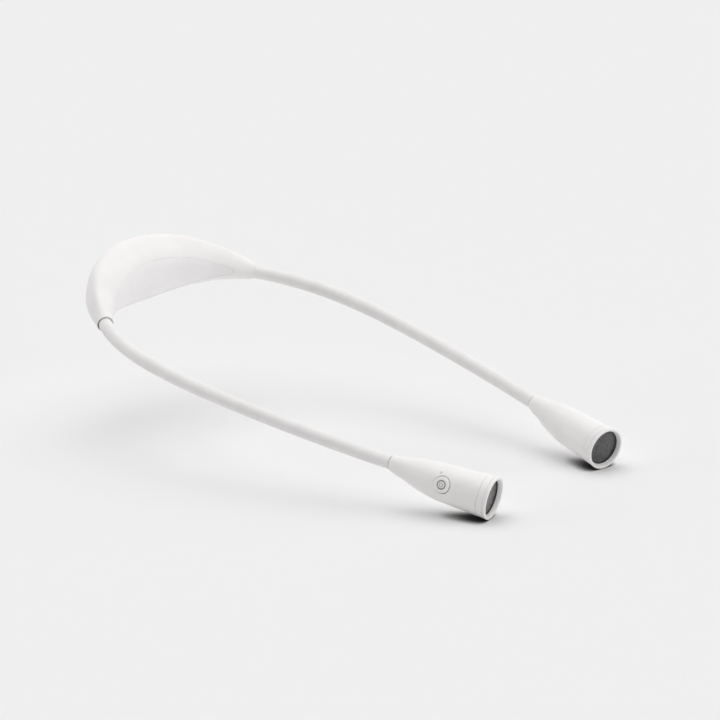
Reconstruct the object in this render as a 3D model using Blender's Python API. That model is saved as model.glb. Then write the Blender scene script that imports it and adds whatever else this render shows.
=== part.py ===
"""Neck reading light: a curved battery housing worn behind the neck, two bendable arms and two lamp heads.

Metres, +Z up. X is the wearer's left, -Y is forward. The origin is the middle of the inner face.
"""

import math
from bisect import bisect_right

import bmesh
import bpy
from mathutils import Vector

GAP = 0.0003
CUT_OVER = 0.001
HALF = 0.5
FULL_TURN = 2 * math.pi
UPWARD = HALF * math.pi
DOWNWARD = 3 * UPWARD
SIDES = (("left", 1), ("right", -1))

# Rear housing, along its centre line from the middle to one end
END_HALF_SPAN = 0.0689
HOUSING_DEPTH = 0.0347
HOUSING_DROP = 0.00845
MIDDLE_HANDLE = 0.030
END_HANDLE = 0.0306
HOUSING_TILT_DEG = 6
MIDDLE_HEIGHT = 0.0255
MIDDLE_THICKNESS = 0.0285
SOCKET_WALL = 0.0007
HEIGHT_FALL_POWER = 1.2
THICKNESS_FALL_POWER = 1.25
CREST_RISE = 0.0165
CREST_FALL_POWER = 0.8
INNER_SQUARENESS = 4.0
OUTER_SQUARENESS = 1.9
ROUND_POWER = 2.0
HOUSING_STATIONS = 13
HOUSING_SIDES = 32
SKIN_SEARCH_STEPS = 30

# Housing walls and cover
OUTER_WALL = 0.0016
INNER_WALL = 0.0024
CAVITY_END_SHARE = 0.83
CAVITY_STATIONS = 9
CAVITY_SIDES = 24
COVER_THICKNESS = 0.0012
COVER_SEAT_DEPTH = COVER_THICKNESS + GAP
COVER_TOP_SHARE = 0.47
COVER_FOOT_SHARE = 0.41
COVER_END_SHARE = 0.84
COVER_TAPER_SHARE = 0.86
COVER_LEDGE = 0.0012
COVER_STATIONS = 9
COVER_POINTS = 7
OPENING_END_SHARE = 0.72
OPENING_DEPTH = INNER_WALL + CUT_OVER

# Arm sleeve and core
SLEEVE_RADIUS = 0.004
SLEEVE_BORE = 0.0026
SLEEVE_SIDES = 16
BALL_RINGS = 2
CUP_RINGS = 1
LINK_RINGS = 4
JOINT_RADIUS = SLEEVE_RADIUS + GAP
JOINT_LAND = 0.0003
CORE_RADIUS = SLEEVE_BORE - GAP
CORE_SETBACK = math.sqrt(JOINT_RADIUS**2 - CORE_RADIUS**2) + GAP
CORE_BREAK = 0.0015
CORE_REACH = CORE_SETBACK - CORE_BREAK
CORE_SIDES = 12
ROOT_DEPTH = 0.009
CRIMP_LENGTH = 0.002
ROOT_CRIMP_STEP = 0.0001
ROOT_CRIMP_RADIUS = SLEEVE_RADIUS - ROOT_CRIMP_STEP
SEAM_WIDTH = 0.0022
SEAM_STEP = 0.0007
SEAM_RADIUS = SLEEVE_RADIUS - SEAM_STEP
SPIGOT_LENGTH = 0.0047
TAIL_CRIMP_SHIFT = SPIGOT_LENGTH + 2 * GAP

# The round sockets at the housing's ends
SOCKET_BORE_RADIUS = SLEEVE_RADIUS + GAP
END_DIAMETER = 2 * (SOCKET_BORE_RADIUS + SOCKET_WALL)
SOCKET_BORE_SPARE = 0.006
SOCKET_BORE_DEPTH = ROOT_DEPTH + CRIMP_LENGTH + SOCKET_BORE_SPARE
BORE_STATIONS = 4
BORE_SIDES = 20

# Arms: joints, and the direction at each share of the arm's length
FIRST_JOINT = 0.014
JOINT_SPACING = 0.038
JOINT_COUNT = 6
TAIL_LENGTH = 0.014
ARM_LENGTH = FIRST_JOINT + JOINT_SPACING * (JOINT_COUNT - 1) + TAIL_LENGTH
ARM_DIRECTION_SHARES = (
    # share of the arm's length, spread outward (degrees), drop (degrees)
    (0.0, 38.5, 12.7),
    (0.064, 27.5, 13.0),
    (0.239, 7.0, 13.6),
    (0.413, -3.5, 13.8),
    (0.587, -7.8, 13.7),
    (0.761, -9.7, 13.4),
    (0.936, -12.6, 13.1),
    (1.0, -13.1, 12.2),
)
TRAIL_STEPS = 436
TANGENT_STEP = 0.001
HOUSING_STEPS = 240

# Lamp head shell: shares of its length, of its growth in radius, of its offset below the arm's line
HEAD_SPREAD_DEG = -13.1
HEAD_DROP_DEG = 11.8
SHELL_LENGTH = 0.0587
NECK_STEP = 0.00015
NECK_RADIUS = SLEEVE_RADIUS + NECK_STEP
FRONT_RADIUS = 0.01205
HEAD_OFFSET = 0.0019
HEAD_PROFILE_SHARES = (
    (0.0, 0.0, 0.0),
    (0.034, 0.057, 0.05),
    (0.094, 0.184, 0.16),
    (0.145, 0.247, 0.26),
    (0.198, 0.323, 0.42),
    (0.283, 0.500, 0.58),
    (0.376, 0.652, 0.74),
    (0.470, 0.759, 0.89),
    (0.564, 0.835, 1.0),
    (0.753, 0.905, 1.0),
    (0.886, 0.949, 1.0),
    (1.0, 1.0, 1.0),
)
INNER_PROFILE_START = 3
HEAD_SIDES = 24
HEAD_WALL = 0.0014
NECK_BORE = SEAM_RADIUS + GAP
NECK_DEPTH = SPIGOT_LENGTH + GAP
CRIMP_CATCH = 0.00015
TAIL_CRIMP_RADIUS = NECK_BORE + CRIMP_CATCH
SHELL_LIP_LENGTH = 0.0018
SHELL_LIP_WALL = 0.0006
BEZEL_WALL = 0.00065
SHELL_LIP_OUTER = FRONT_RADIUS - BEZEL_WALL - GAP
SHELL_LIP_INNER = SHELL_LIP_OUTER - SHELL_LIP_WALL
SHELL_LIP_END = SHELL_LENGTH + SHELL_LIP_LENGTH

# Bezel and lens
BEZEL_START = SHELL_LENGTH + GAP
BEZEL_LENGTH = 0.0058
BEZEL_END = BEZEL_START + BEZEL_LENGTH
BEZEL_WAIST_SHARE = 0.28
BEZEL_WAIST = BEZEL_START + BEZEL_LENGTH * BEZEL_WAIST_SHARE
RIM_RADIUS = 0.0125
RIM_ROUND = 0.0003
RIM_BEVEL = 0.0002
BEZEL_POCKET = SHELL_LIP_OUTER + GAP
LENS_THICKNESS = 0.0012
LENS_EDGE = 0.0004
LENS_SEAT = 0.0003
LENS_BACK = SHELL_LIP_END + GAP
LENS_FRONT = LENS_BACK + LENS_THICKNESS
LENS_RADIUS = BEZEL_POCKET - GAP
BEZEL_OPENING = LENS_RADIUS - LENS_SEAT
BEZEL_LIP_BACK = LENS_FRONT + GAP

# Button, switch and switch board, on the outer side of each head
BUTTON_PLACE_SHARE = 0.634
BUTTON_ALONG = SHELL_LENGTH * BUTTON_PLACE_SHARE
BUTTON_RAISE_DEG = 15
BUTTON_RADIUS = 0.0047
BUTTON_HOLE_RADIUS = BUTTON_RADIUS + GAP
BUTTON_PROUD = 0.0008
BUTTON_TRAVEL = 0.0006
BUTTON_EDGE = 0.0005
BUTTON_INNER_SHARE = 0.5
BUTTON_CATCH = 0.0003
BUTTON_FLANGE_RADIUS = BUTTON_HOLE_RADIUS + BUTTON_CATCH
BUTTON_FLANGE_GAP = 0.0005
BUTTON_FLANGE_THICKNESS = 0.0008
BUTTON_STEM_RADIUS = 0.0012
BUTTON_STEM_LENGTH = 0.0009
BUTTON_SIDES = 20
SWITCH_GAP = 0.0004
SWITCH_SIDE = 0.006
SWITCH_HEIGHT = 0.0031
SWITCH_WELL_CLEARANCE = 0.0004
SWITCH_WELL_DEPTH = 0.0012
SWITCH_WELL_RADIUS = BUTTON_STEM_RADIUS + SWITCH_WELL_CLEARANCE
BOARD_LEAD_ROOM = 0.0119
BOARD_LED_GAP = 0.003
BOARD_THICKNESS = 0.001
CHIP_LENGTH = 0.0036
CHIP_WIDTH = 0.003
CHIP_HEIGHT = 0.001
CHIP_INSET = 0.0038
CHIP_SINK = 0.0002
INDICATOR_PLACE_SHARE = 0.577
INDICATOR_ALONG = SHELL_LENGTH * INDICATOR_PLACE_SHARE
INDICATOR_RAISE_DEG = 51
INDICATOR_RADIUS = 0.0007
INDICATOR_HOLE_RADIUS = INDICATOR_RADIUS + GAP
INDICATOR_PROUD = 0.0001
INDICATOR_RECESS = 0.0003
INDICATOR_SIDES = 12

# Reflector and light source
REFLECTOR_WALL = 0.0007
REFLECTOR_RINGS = 3
REFLECTOR_MOUTH = SHELL_LIP_INNER - GAP - REFLECTOR_WALL
LED_RADIUS = 0.0022
LED_BODY = 0.0005
LED_DOME = 0.0004
LED_DOME_SHARE = 0.5
LED_SIDES = 16
LED_CLEARANCE = 0.0007
REFLECTOR_THROAT = LED_RADIUS + LED_CLEARANCE
LED_BOARD_THICKNESS = 0.0012
LED_BOARD_BUTTON_GAP = 0.0014
LED_BOARD_BACK = BUTTON_ALONG + BUTTON_FLANGE_RADIUS + LED_BOARD_BUTTON_GAP
LED_BOARD_FRONT = LED_BOARD_BACK + LED_BOARD_THICKNESS
LED_BACK = LED_BOARD_FRONT + GAP
REFLECTOR_BACK = LED_BACK + LED_BODY + LED_DOME
REFLECTOR_FRONT = LENS_BACK - GAP

# Leads
LEAD_RADIUS = 0.0006
LEAD_SIDES = 8
HEAD_LEAD_RINGS = 7
HOUSING_LEAD_RINGS = 12
LEAD_OVER_BOARD = LEAD_RADIUS + GAP
LEAD_BOARD_OVERLAP = 0.0028
LEAD_BOARD_RUN_IN = 0.0015
LEAD_ROOF_GAP = 0.0012
LEAD_RISE_SHARE = 0.06
LEAD_FALL_SHARE = 0.30
LEAD_CLEAR = 0.0006

# Battery, charge board, socket and fixings in the housing
BATTERY_LENGTH = 0.044
BATTERY_THICKNESS = 0.010
BATTERY_HEIGHT = 0.018
BATTERY_CORNER = 0.0016
BATTERY_SHIFT = 0.0015
CELL_RIB_THICKNESS = 0.0012
CELL_RIB_HEIGHT = 0.008
CELL_RIB_INSET = 0.005
LEAD_OVER_CELL = BATTERY_HEIGHT * HALF + LEAD_RADIUS + 2 * GAP
BOARD_STATION_SHARE = 0.50
CHARGE_BOARD_LENGTH = 0.0165
CHARGE_BOARD_HEIGHT = 0.0118
CHARGE_BOARD_DROP = 0.0004
CHARGE_BOARD_LOW = -CHARGE_BOARD_HEIGHT * HALF - CHARGE_BOARD_DROP
CHARGE_BOARD_HIGH = CHARGE_BOARD_LOW + CHARGE_BOARD_HEIGHT
CHARGE_BOARD_INNER = 0.0017
CHARGE_BOARD_THICKNESS = 0.001
CHARGE_BOARD_OUTER = CHARGE_BOARD_INNER + CHARGE_BOARD_THICKNESS
USB_WIDTH = 0.0076
USB_THICKNESS = 0.0027
USB_HEIGHT = 0.005
USB_RECESS = 0.0005
USB_WALL = 0.0004
USB_MOUTH_DEPTH = 0.0036
SCREW_SHIFT = 0.0058
SCREW_RISE = 0.0022
SCREW_HEAD_RADIUS = 0.0013
SCREW_HEAD_LENGTH = 0.0008
SCREW_SHANK_RADIUS = 0.0006
SCREW_HOLE_RADIUS = SCREW_SHANK_RADIUS + GAP
SCREW_DEPTH = 0.0022
PILOT_SPARE = 0.0004
PILOT_DEPTH = SCREW_DEPTH + PILOT_SPARE
SCREW_SIDES = 12
BOSS_RADIUS = 0.0019
LIGHT_STATION_SHARE = 0.655
LIGHT_RADIUS = 0.0007
LIGHT_HOLE_RADIUS = LIGHT_RADIUS + GAP
LIGHT_SPARE = 0.001
LIGHT_LENGTH = OUTER_WALL + LIGHT_SPARE

# Colours (linear) and finishes: base colour, metallic, roughness
WHITE_PLASTIC = ((0.86, 0.85, 0.83, 1.0), 0.0, 0.42)
WHITE_SILICONE = ((0.84, 0.83, 0.81, 1.0), 0.0, 0.60)
STEEL = ((0.45, 0.45, 0.46, 1.0), 1.0, 0.35)
ALUMINIUM = ((0.66, 0.66, 0.67, 1.0), 1.0, 0.30)
BOARD_GREEN = ((0.02, 0.16, 0.06, 1.0), 0.0, 0.50)
DARK_LENS = ((0.05, 0.05, 0.055, 1.0), 0.0, 0.12)
LED_YELLOW = ((0.85, 0.62, 0.10, 1.0), 0.0, 0.40)
CELL_SILVER = ((0.50, 0.51, 0.52, 1.0), 0.6, 0.45)
BLACK_PLASTIC = ((0.02, 0.02, 0.02, 1.0), 0.0, 0.50)
CLEAR_PIN = ((0.70, 0.75, 0.78, 1.0), 0.0, 0.20)
LEAD_BLACK = ((0.03, 0.03, 0.03, 1.0), 0.0, 0.60)
SMOOTH_ANGLE_DEG = 35
SHADE_SHARE = 0.02


def clear_scene():
    for item in list(bpy.data.objects):
        bpy.data.objects.remove(item, do_unlink=True)


def finish_material(name, finish, turn):
    colour, metallic, rough = finish
    material = bpy.data.materials.new(name)
    material.use_nodes = True
    shader = material.node_tree.nodes["Principled BSDF"]
    shade = 1 - SHADE_SHARE * turn
    shader.inputs["Base Color"].default_value = (
        colour[0] * shade,
        colour[1] * shade,
        colour[2] * shade,
        colour[3],
    )
    shader.inputs["Metallic"].default_value = metallic
    shader.inputs["Roughness"].default_value = rough
    return material


def new_object(name, points, faces, finish, origin, turn=0):
    """A mesh object from world points, its origin where the piece turns or sits."""
    mesh = bpy.data.meshes.new(name)
    mesh.from_pydata([tuple(point - origin) for point in points], [], faces)
    work = bmesh.new()
    work.from_mesh(mesh)
    bmesh.ops.recalc_face_normals(work, faces=work.faces)
    work.to_mesh(mesh)
    work.free()
    mesh.shade_smooth()
    mesh.set_sharp_from_angle(angle=math.radians(SMOOTH_ANGLE_DEG))
    mesh.materials.append(finish_material(name, finish, turn))
    made = bpy.data.objects.new(name, mesh)
    made.location = origin
    bpy.context.collection.objects.link(made)
    return made


def loft(rings, tube=False):
    """Points and faces of a skin over rings of equal count: capped, or closed back on itself."""
    count = len(rings[0])
    points = [point for ring in rings for point in ring]
    faces = []
    last = len(rings) if tube else len(rings) - 1
    for at in range(last):
        low = at * count
        high = (at + 1) % len(rings) * count
        for side in range(count):
            after = (side + 1) % count
            faces.append((low + side, low + after, high + after, high + side))
    if tube:
        return points, faces
    for start, ring in ((0, rings[0]), ((len(rings) - 1) * count, rings[-1])):
        middle = len(points)
        points.append(sum(ring, Vector()) / count)
        for side in range(count):
            faces.append((start + side, start + (side + 1) % count, middle))
    return points, faces


def circle(centre, across, up, radius, count):
    ring = []
    for side in range(count):
        angle = FULL_TURN * side / count
        ring.append(centre + across * (radius * math.cos(angle)) + up * (radius * math.sin(angle)))
    return ring


def cutter(name, points, faces, origin):
    made = new_object(name, points, faces, BLACK_PLASTIC, origin)
    made.hide_render = True
    made.display_type = "WIRE"
    return made


def change(piece, tool, operation):
    step = piece.modifiers.new(tool.name, "BOOLEAN")
    step.operation = operation
    step.solver = "EXACT"
    step.object = tool


def block(centre, axes, size):
    """Points and faces of a box on three given axes."""
    across, along, up = axes
    rings = []
    for level in (-HALF, HALF):
        base = centre + up * (size[2] * level)
        rings.append(
            [
                base + across * (size[0] * x) + along * (size[1] * y)
                for x, y in ((-HALF, -HALF), (HALF, -HALF), (HALF, HALF), (-HALF, HALF))
            ]
        )
    return loft(rings)


def rod(start, end, radius, count):
    """Points and faces of a plain cylinder between two points."""
    axis = (end - start).normalized()
    across = axis.orthogonal().normalized()
    up = axis.cross(across)
    return loft([circle(start, across, up, radius, count), circle(end, across, up, radius, count)])


def direction(spread, drop):
    return Vector(
        (
            math.sin(spread) * math.cos(drop),
            -math.cos(spread) * math.cos(drop),
            -math.sin(drop),
        )
    )


def between(low, high, share):
    return low + (high - low) * share


def table_value(table, at, column):
    """A column of a table of stations, read between its rows."""
    keys = [row[0] for row in table]
    row = min(max(bisect_right(keys, at) - 1, 0), len(table) - 2)
    share = (at - keys[row]) / (keys[row + 1] - keys[row])
    return between(table[row][column], table[row + 1][column], min(max(share, 0), 1))


# The centre line: the housing's half curve, then the arm
HOUSING_OUTWARD = Vector(
    (0, math.cos(math.radians(HOUSING_TILT_DEG)), math.sin(math.radians(HOUSING_TILT_DEG)))
)
HOUSING_UP = Vector(
    (0, -math.sin(math.radians(HOUSING_TILT_DEG)), math.cos(math.radians(HOUSING_TILT_DEG)))
)
MIDDLE = HOUSING_OUTWARD * (MIDDLE_THICKNESS * HALF)
HOUSING_END = MIDDLE + Vector((END_HALF_SPAN, -HOUSING_DEPTH, -HOUSING_DROP))


def housing_curve():
    """The left half of the housing's centre line, from the middle to the end."""
    end_way = direction(
        math.radians(ARM_DIRECTION_SHARES[0][1]), math.radians(ARM_DIRECTION_SHARES[0][2])
    )
    first = MIDDLE
    second = MIDDLE + Vector((MIDDLE_HANDLE, 0, 0))
    third = HOUSING_END - end_way * END_HANDLE
    curve = []
    for step in range(HOUSING_STEPS + 1):
        share = step / HOUSING_STEPS
        rest = 1 - share
        curve.append(
            first * rest**3
            + second * (3 * rest**2 * share)
            + third * (3 * rest * share**2)
            + HOUSING_END * share**3
        )
    return curve


def whole_trail():
    """(distance, point) along the left side, 0 at the housing's end and less than 0 inside it."""
    curve = housing_curve()
    back = [(0.0, curve[-1])]
    for step in range(len(curve) - 1, 0, -1):
        distance = back[-1][0] - (curve[step] - curve[step - 1]).length
        back.append((distance, curve[step - 1]))
    trail = back[::-1]
    step_length = ARM_LENGTH / TRAIL_STEPS
    point = HOUSING_END.copy()
    for step in range(TRAIL_STEPS):
        share = (step + HALF) / TRAIL_STEPS
        spread = math.radians(table_value(ARM_DIRECTION_SHARES, share, 1))
        drop = math.radians(table_value(ARM_DIRECTION_SHARES, share, 2))
        point = point + direction(spread, drop) * step_length
        trail.append(((step + 1) * step_length, point))
    return trail


TRAIL = whole_trail()
TRAIL_KEYS = [at for at, point in TRAIL]
HALF_HOUSING = -TRAIL_KEYS[0]


def on_side(vector, side):
    return Vector((vector.x * side, vector.y, vector.z))


def left_point(at):
    """A point of the left centre line. Past the middle it carries on level, past the head straight on."""
    if at <= TRAIL_KEYS[0]:
        return TRAIL[0][1] + Vector((at - TRAIL_KEYS[0], 0, 0))
    if at >= TRAIL_KEYS[-1]:
        last = TRAIL[-1][1]
        return last + (last - TRAIL[-2][1]).normalized() * (at - TRAIL_KEYS[-1])
    row = min(bisect_right(TRAIL_KEYS, at) - 1, len(TRAIL) - 2)
    low, high = TRAIL[row], TRAIL[row + 1]
    return low[1].lerp(high[1], (at - low[0]) / (high[0] - low[0]))


def trail_point(side, at):
    return on_side(left_point(at), side)


def trail_way(side, at):
    """The direction of travel away from the housing's middle."""
    way = left_point(at + TANGENT_STEP) - left_point(at - TANGENT_STEP)
    return on_side(way.normalized(), side)


def trail_frame(side, at):
    """Point, direction of travel, across (toward +X for an arm) and up, for a place on the line."""
    way = trail_way(side, at)
    across = HOUSING_UP.cross(way).normalized()
    return trail_point(side, at), way, across, way.cross(across)


def joint_at(number):
    return FIRST_JOINT + JOINT_SPACING * number


def trail_ring(side, at, radius, count):
    point, way, across, up = trail_frame(side, at)
    return circle(point, across, up, radius, count)


# Housing sections, in outward and upward offsets from the centre line


def fall(share, power):
    return max(math.cos(math.pi * HALF * min(share, 1)), 0) ** power


def housing_size(share):
    """Height and thickness of the housing at a share of the way to its end."""
    height = between(END_DIAMETER, MIDDLE_HEIGHT, fall(share, HEIGHT_FALL_POWER))
    thickness = between(END_DIAMETER, MIDDLE_THICKNESS, fall(share, THICKNESS_FALL_POWER))
    return height, thickness


def squareness(share, inner):
    most = INNER_SQUARENESS if inner else OUTER_SQUARENESS
    return between(ROUND_POWER, most, fall(share, HEIGHT_FALL_POWER))


def housing_frame(side, at):
    """Point, leftward direction, outward and up for a housing section."""
    leftward = trail_way(side, at) * side
    outward = HOUSING_UP.cross(leftward).normalized()
    return trail_point(side, at), leftward, outward, leftward.cross(outward)


def housing_share(at):
    return min(max(1 + at / HALF_HOUSING, 0), 1)


def section_offset(share, angle, inner_wall=0, outer_wall=0):
    """Outward and upward offset of the skin, or of the cavity inside its walls, at an angle round it.

    The upper half rises backward from the inner face to a crest.
    """
    height, thickness = housing_size(share)
    c, s = math.cos(angle), math.sin(angle)
    inner = c < 0
    power = squareness(share, inner)
    reach = (abs(c) ** power + abs(s) ** power) ** (-1 / power)
    deep = thickness * HALF - (inner_wall if inner else outer_wall)
    tall = height * HALF - outer_wall
    crest = CREST_RISE * fall(share, CREST_FALL_POWER) * max(s, 0) * (1 + c) * HALF
    return deep * reach * c, tall * reach * s + crest


def section_ring(side, at, inner_wall, outer_wall, count):
    share = housing_share(at)
    point, leftward, outward, up = housing_frame(side, at)
    ring = []
    for step in range(count):
        out, rise = section_offset(share, FULL_TURN * step / count, inner_wall, outer_wall)
        ring.append(point + outward * out + up * rise)
    return ring


def both_sides(end_share, stations):
    """(side, distance) stations from the right end to the left, the middle once."""
    reach = HALF_HOUSING * end_share
    out = [(-1, -HALF_HOUSING + reach * (stations - step) / stations) for step in range(stations)]
    out.append((1, -HALF_HOUSING))
    out += [(1, -HALF_HOUSING + reach * (step + 1) / stations) for step in range(stations)]
    return out


def skin_at(share, level, below, above):
    """Outward offset of the skin at a height, searched between an angle below it and one above it."""
    for step in range(SKIN_SEARCH_STEPS):
        middle = (below + above) * HALF
        if section_offset(share, middle)[1] < level:
            below = middle
        else:
            above = middle
    return section_offset(share, below)[0]


def inner_face(share, level):
    """How far the inner face lies from the centre line, inward, at a height on it."""
    return -skin_at(share, level, DOWNWARD, UPWARD)


def outer_face(share, level):
    """How far the rear face lies from the centre line, outward, at a height well below the crest."""
    return skin_at(share, level, -UPWARD, UPWARD * HALF)


def cover_edges(share):
    """Heights of the cover's lower and upper edge."""
    height, thickness = housing_size(share)
    taper = height * math.sqrt(max(1 - (share / COVER_TAPER_SHARE) ** 2, 0))
    return -COVER_FOOT_SHARE * taper, COVER_TOP_SHARE * taper


def plate_ring(side, at, grow, out_depth, in_depth):
    """A strip that follows the inner face, between two depths below it."""
    share = housing_share(at)
    point, leftward, outward, up = housing_frame(side, at)
    low, high = cover_edges(share)
    low, high = low - grow, high + grow
    levels = [between(low, high, step / (COVER_POINTS - 1)) for step in range(COVER_POINTS)]
    ring = []
    for order, depth in ((levels, out_depth), (levels[::-1], in_depth)):
        for level in order:
            inward = inner_face(share, level) - depth
            ring.append(point - outward * inward + up * level)
    return ring


def plate(end_share, grow, out_depth, in_depth):
    rings = [
        plate_ring(side, at, grow, out_depth, in_depth)
        for side, at in both_sides(end_share, COVER_STATIONS)
    ]
    return loft(rings)


def build_housing():
    rings = [
        section_ring(side, at, 0, 0, HOUSING_SIDES) for side, at in both_sides(1, HOUSING_STATIONS)
    ]
    origin = Vector()
    shell = new_object("rear_shell", *loft(rings), WHITE_PLASTIC, origin)
    rings = [
        section_ring(side, at, INNER_WALL, OUTER_WALL, CAVITY_SIDES)
        for side, at in both_sides(CAVITY_END_SHARE, CAVITY_STATIONS)
    ]
    change(shell, cutter("cut_cavity", *loft(rings), origin), "DIFFERENCE")
    seat = plate(COVER_END_SHARE + GAP / HALF_HOUSING, GAP, -CUT_OVER, COVER_SEAT_DEPTH)
    change(shell, cutter("cut_cover_seat", *seat, origin), "DIFFERENCE")
    opening = plate(OPENING_END_SHARE, -COVER_LEDGE, -CUT_OVER, OPENING_DEPTH)
    change(shell, cutter("cut_cover_opening", *opening, origin), "DIFFERENCE")
    for name, side in SIDES:
        reach = SOCKET_BORE_DEPTH + CUT_OVER
        rings = [
            trail_ring(
                side,
                reach * step / (BORE_STATIONS - 1) - SOCKET_BORE_DEPTH,
                SOCKET_BORE_RADIUS,
                BORE_SIDES,
            )
            for step in range(BORE_STATIONS)
        ]
        change(shell, cutter("cut_bore_" + name, *loft(rings), origin), "DIFFERENCE")
    cover = plate(COVER_END_SHARE, 0, 0, COVER_THICKNESS)
    new_object("neck_cover", *cover, WHITE_PLASTIC, origin, turn=1)
    build_battery(shell, origin)
    build_charge_board(shell, origin)


def build_battery(shell, origin):
    """A flat pouch cell with rounded long edges, taped to two ribs of the rear wall."""
    point, leftward, outward, up = housing_frame(1, -HALF_HOUSING)
    length, thickness, height = BATTERY_LENGTH, BATTERY_THICKNESS, BATTERY_HEIGHT
    corner = BATTERY_CORNER
    outline = []
    for x, y in ((-1, -1), (1, -1), (1, 1), (-1, 1)):
        base_x = x * (thickness * HALF - corner)
        base_y = y * (height * HALF - corner)
        turned = ((base_x, base_y + y * corner), (base_x + x * corner, base_y))
        outline += turned if x * y < 0 else turned[::-1]
    outline = outline[1:] + outline[:1]
    centre = point - outward * BATTERY_SHIFT
    rings = []
    for level in (-HALF, HALF):
        base = centre + leftward * (length * level)
        rings.append([base + outward * x + up * y for x, y in ordered(outline)])
    new_object("battery_cell", *loft(rings), CELL_SILVER, origin)
    for name, way in SIDES:
        across = (length * HALF - CELL_RIB_INSET) * way
        start = thickness * HALF + GAP
        beside = housing_frame(way, abs(across) - HALF_HOUSING)
        wall = beside[0] + beside[2] * outer_face(housing_share(abs(across) - HALF_HOUSING), 0)
        end = (wall - centre).dot(outward) - OUTER_WALL * HALF
        middle = centre + leftward * across + outward * ((start + end) * HALF)
        size = (CELL_RIB_THICKNESS, CELL_RIB_HEIGHT, end - start)
        rib = block(middle, (leftward, up, outward), size)
        change(shell, cutter("add_cell_rib_" + name, *rib, origin), "UNION")


def ordered(outline):
    return sorted(outline, key=lambda spot: math.atan2(spot[1], spot[0]))


def build_charge_board(shell, origin):
    at = -HALF_HOUSING * (1 - BOARD_STATION_SHARE)
    point, leftward, outward, up = housing_frame(1, at)
    axes = (leftward, up, outward)
    middle = (CHARGE_BOARD_LOW + CHARGE_BOARD_HIGH) * HALF
    depth = (CHARGE_BOARD_INNER + CHARGE_BOARD_OUTER) * HALF
    size = (
        CHARGE_BOARD_LENGTH,
        CHARGE_BOARD_HIGH - CHARGE_BOARD_LOW,
        CHARGE_BOARD_OUTER - CHARGE_BOARD_INNER,
    )
    board = new_object(
        "charge_board", *block(point + up * middle + outward * depth, axes, size), BOARD_GREEN, origin
    )
    # Bosses from the rear wall, with the screws through the board
    for name, way in SIDES:
        spot = point + leftward * (SCREW_SHIFT * way) + up * SCREW_RISE
        face = spot + outward * CHARGE_BOARD_INNER
        back = spot + outward * CHARGE_BOARD_OUTER
        boss_start = back + outward * GAP
        local, local_left, local_out, local_up = housing_frame(1, at + SCREW_SHIFT * way)
        wall = local + local_out * outer_face(housing_share(at + SCREW_SHIFT * way), SCREW_RISE)
        boss_reach = (wall - spot).dot(outward) - OUTER_WALL * HALF
        boss = rod(boss_start, spot + outward * boss_reach, BOSS_RADIUS, SCREW_SIDES)
        change(shell, cutter("add_boss_" + name, *boss, origin), "UNION")
        pilot = rod(
            boss_start - outward * GAP, boss_start + outward * PILOT_DEPTH, SCREW_HOLE_RADIUS, SCREW_SIDES
        )
        change(shell, cutter("cut_pilot_" + name, *pilot, origin), "DIFFERENCE")
        through = rod(face - outward * CUT_OVER, back + outward * CUT_OVER, SCREW_HOLE_RADIUS, SCREW_SIDES)
        change(board, cutter("cut_board_hole_" + name, *through, origin), "DIFFERENCE")
        across = leftward
        head_back = face - outward * GAP
        head_top = head_back - outward * SCREW_HEAD_LENGTH
        tip = head_back + outward * (GAP + CHARGE_BOARD_OUTER - CHARGE_BOARD_INNER + SCREW_DEPTH)
        rings = [
            circle(head_top, across, up, SCREW_HEAD_RADIUS, SCREW_SIDES),
            circle(head_back, across, up, SCREW_HEAD_RADIUS, SCREW_SIDES),
            circle(head_back, across, up, SCREW_SHANK_RADIUS, SCREW_SIDES),
            circle(tip, across, up, SCREW_SHANK_RADIUS, SCREW_SIDES),
        ]
        new_object("board_screw_" + name, *loft(rings), STEEL, origin)
    build_socket(shell, at, point, axes, origin)
    build_charge_light(shell, origin)
    build_housing_leads(origin)


def build_socket(shell, at, point, axes, origin):
    """The socket opens downward: its mouth lies a little above the housing's lower face."""
    leftward, up, outward = axes
    height, thickness = housing_size(housing_share(at))
    floor = -height * HALF
    low = floor + USB_RECESS
    centre = point + outward * (CHARGE_BOARD_INNER - GAP - USB_THICKNESS * HALF)
    size = (USB_WIDTH, USB_HEIGHT, USB_THICKNESS)
    middle = centre + up * (low + USB_HEIGHT * HALF)
    socket = new_object("charging_socket", *block(middle, axes, size), STEEL, origin)
    mouth = (USB_WIDTH - 2 * USB_WALL, USB_MOUTH_DEPTH * 2, USB_THICKNESS - 2 * USB_WALL)
    tool = cutter("cut_socket_mouth", *block(centre + up * low, axes, mouth), origin)
    change(socket, tool, "DIFFERENCE")
    depth = OUTER_WALL + 2 * CUT_OVER
    hole = (USB_WIDTH + 2 * GAP, depth, USB_THICKNESS + 2 * GAP)
    middle = centre + up * (floor - CUT_OVER + depth * HALF)
    change(shell, cutter("cut_socket_hole", *block(middle, axes, hole), origin), "DIFFERENCE")


def build_charge_light(shell, origin):
    at = -HALF_HOUSING * (1 - LIGHT_STATION_SHARE)
    point, leftward, outward, up = housing_frame(1, at)
    height, thickness = housing_size(housing_share(at))
    foot = point - up * (height * HALF)
    new_object(
        "charge_light",
        *rod(foot, foot + up * LIGHT_LENGTH, LIGHT_RADIUS, INDICATOR_SIDES),
        CLEAR_PIN,
        origin,
    )
    reach = OUTER_WALL + CUT_OVER
    hole = rod(foot - up * reach, foot + up * reach, LIGHT_HOLE_RADIUS, INDICATOR_SIDES)
    change(shell, cutter("cut_light_hole", *hole, origin), "DIFFERENCE")


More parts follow.
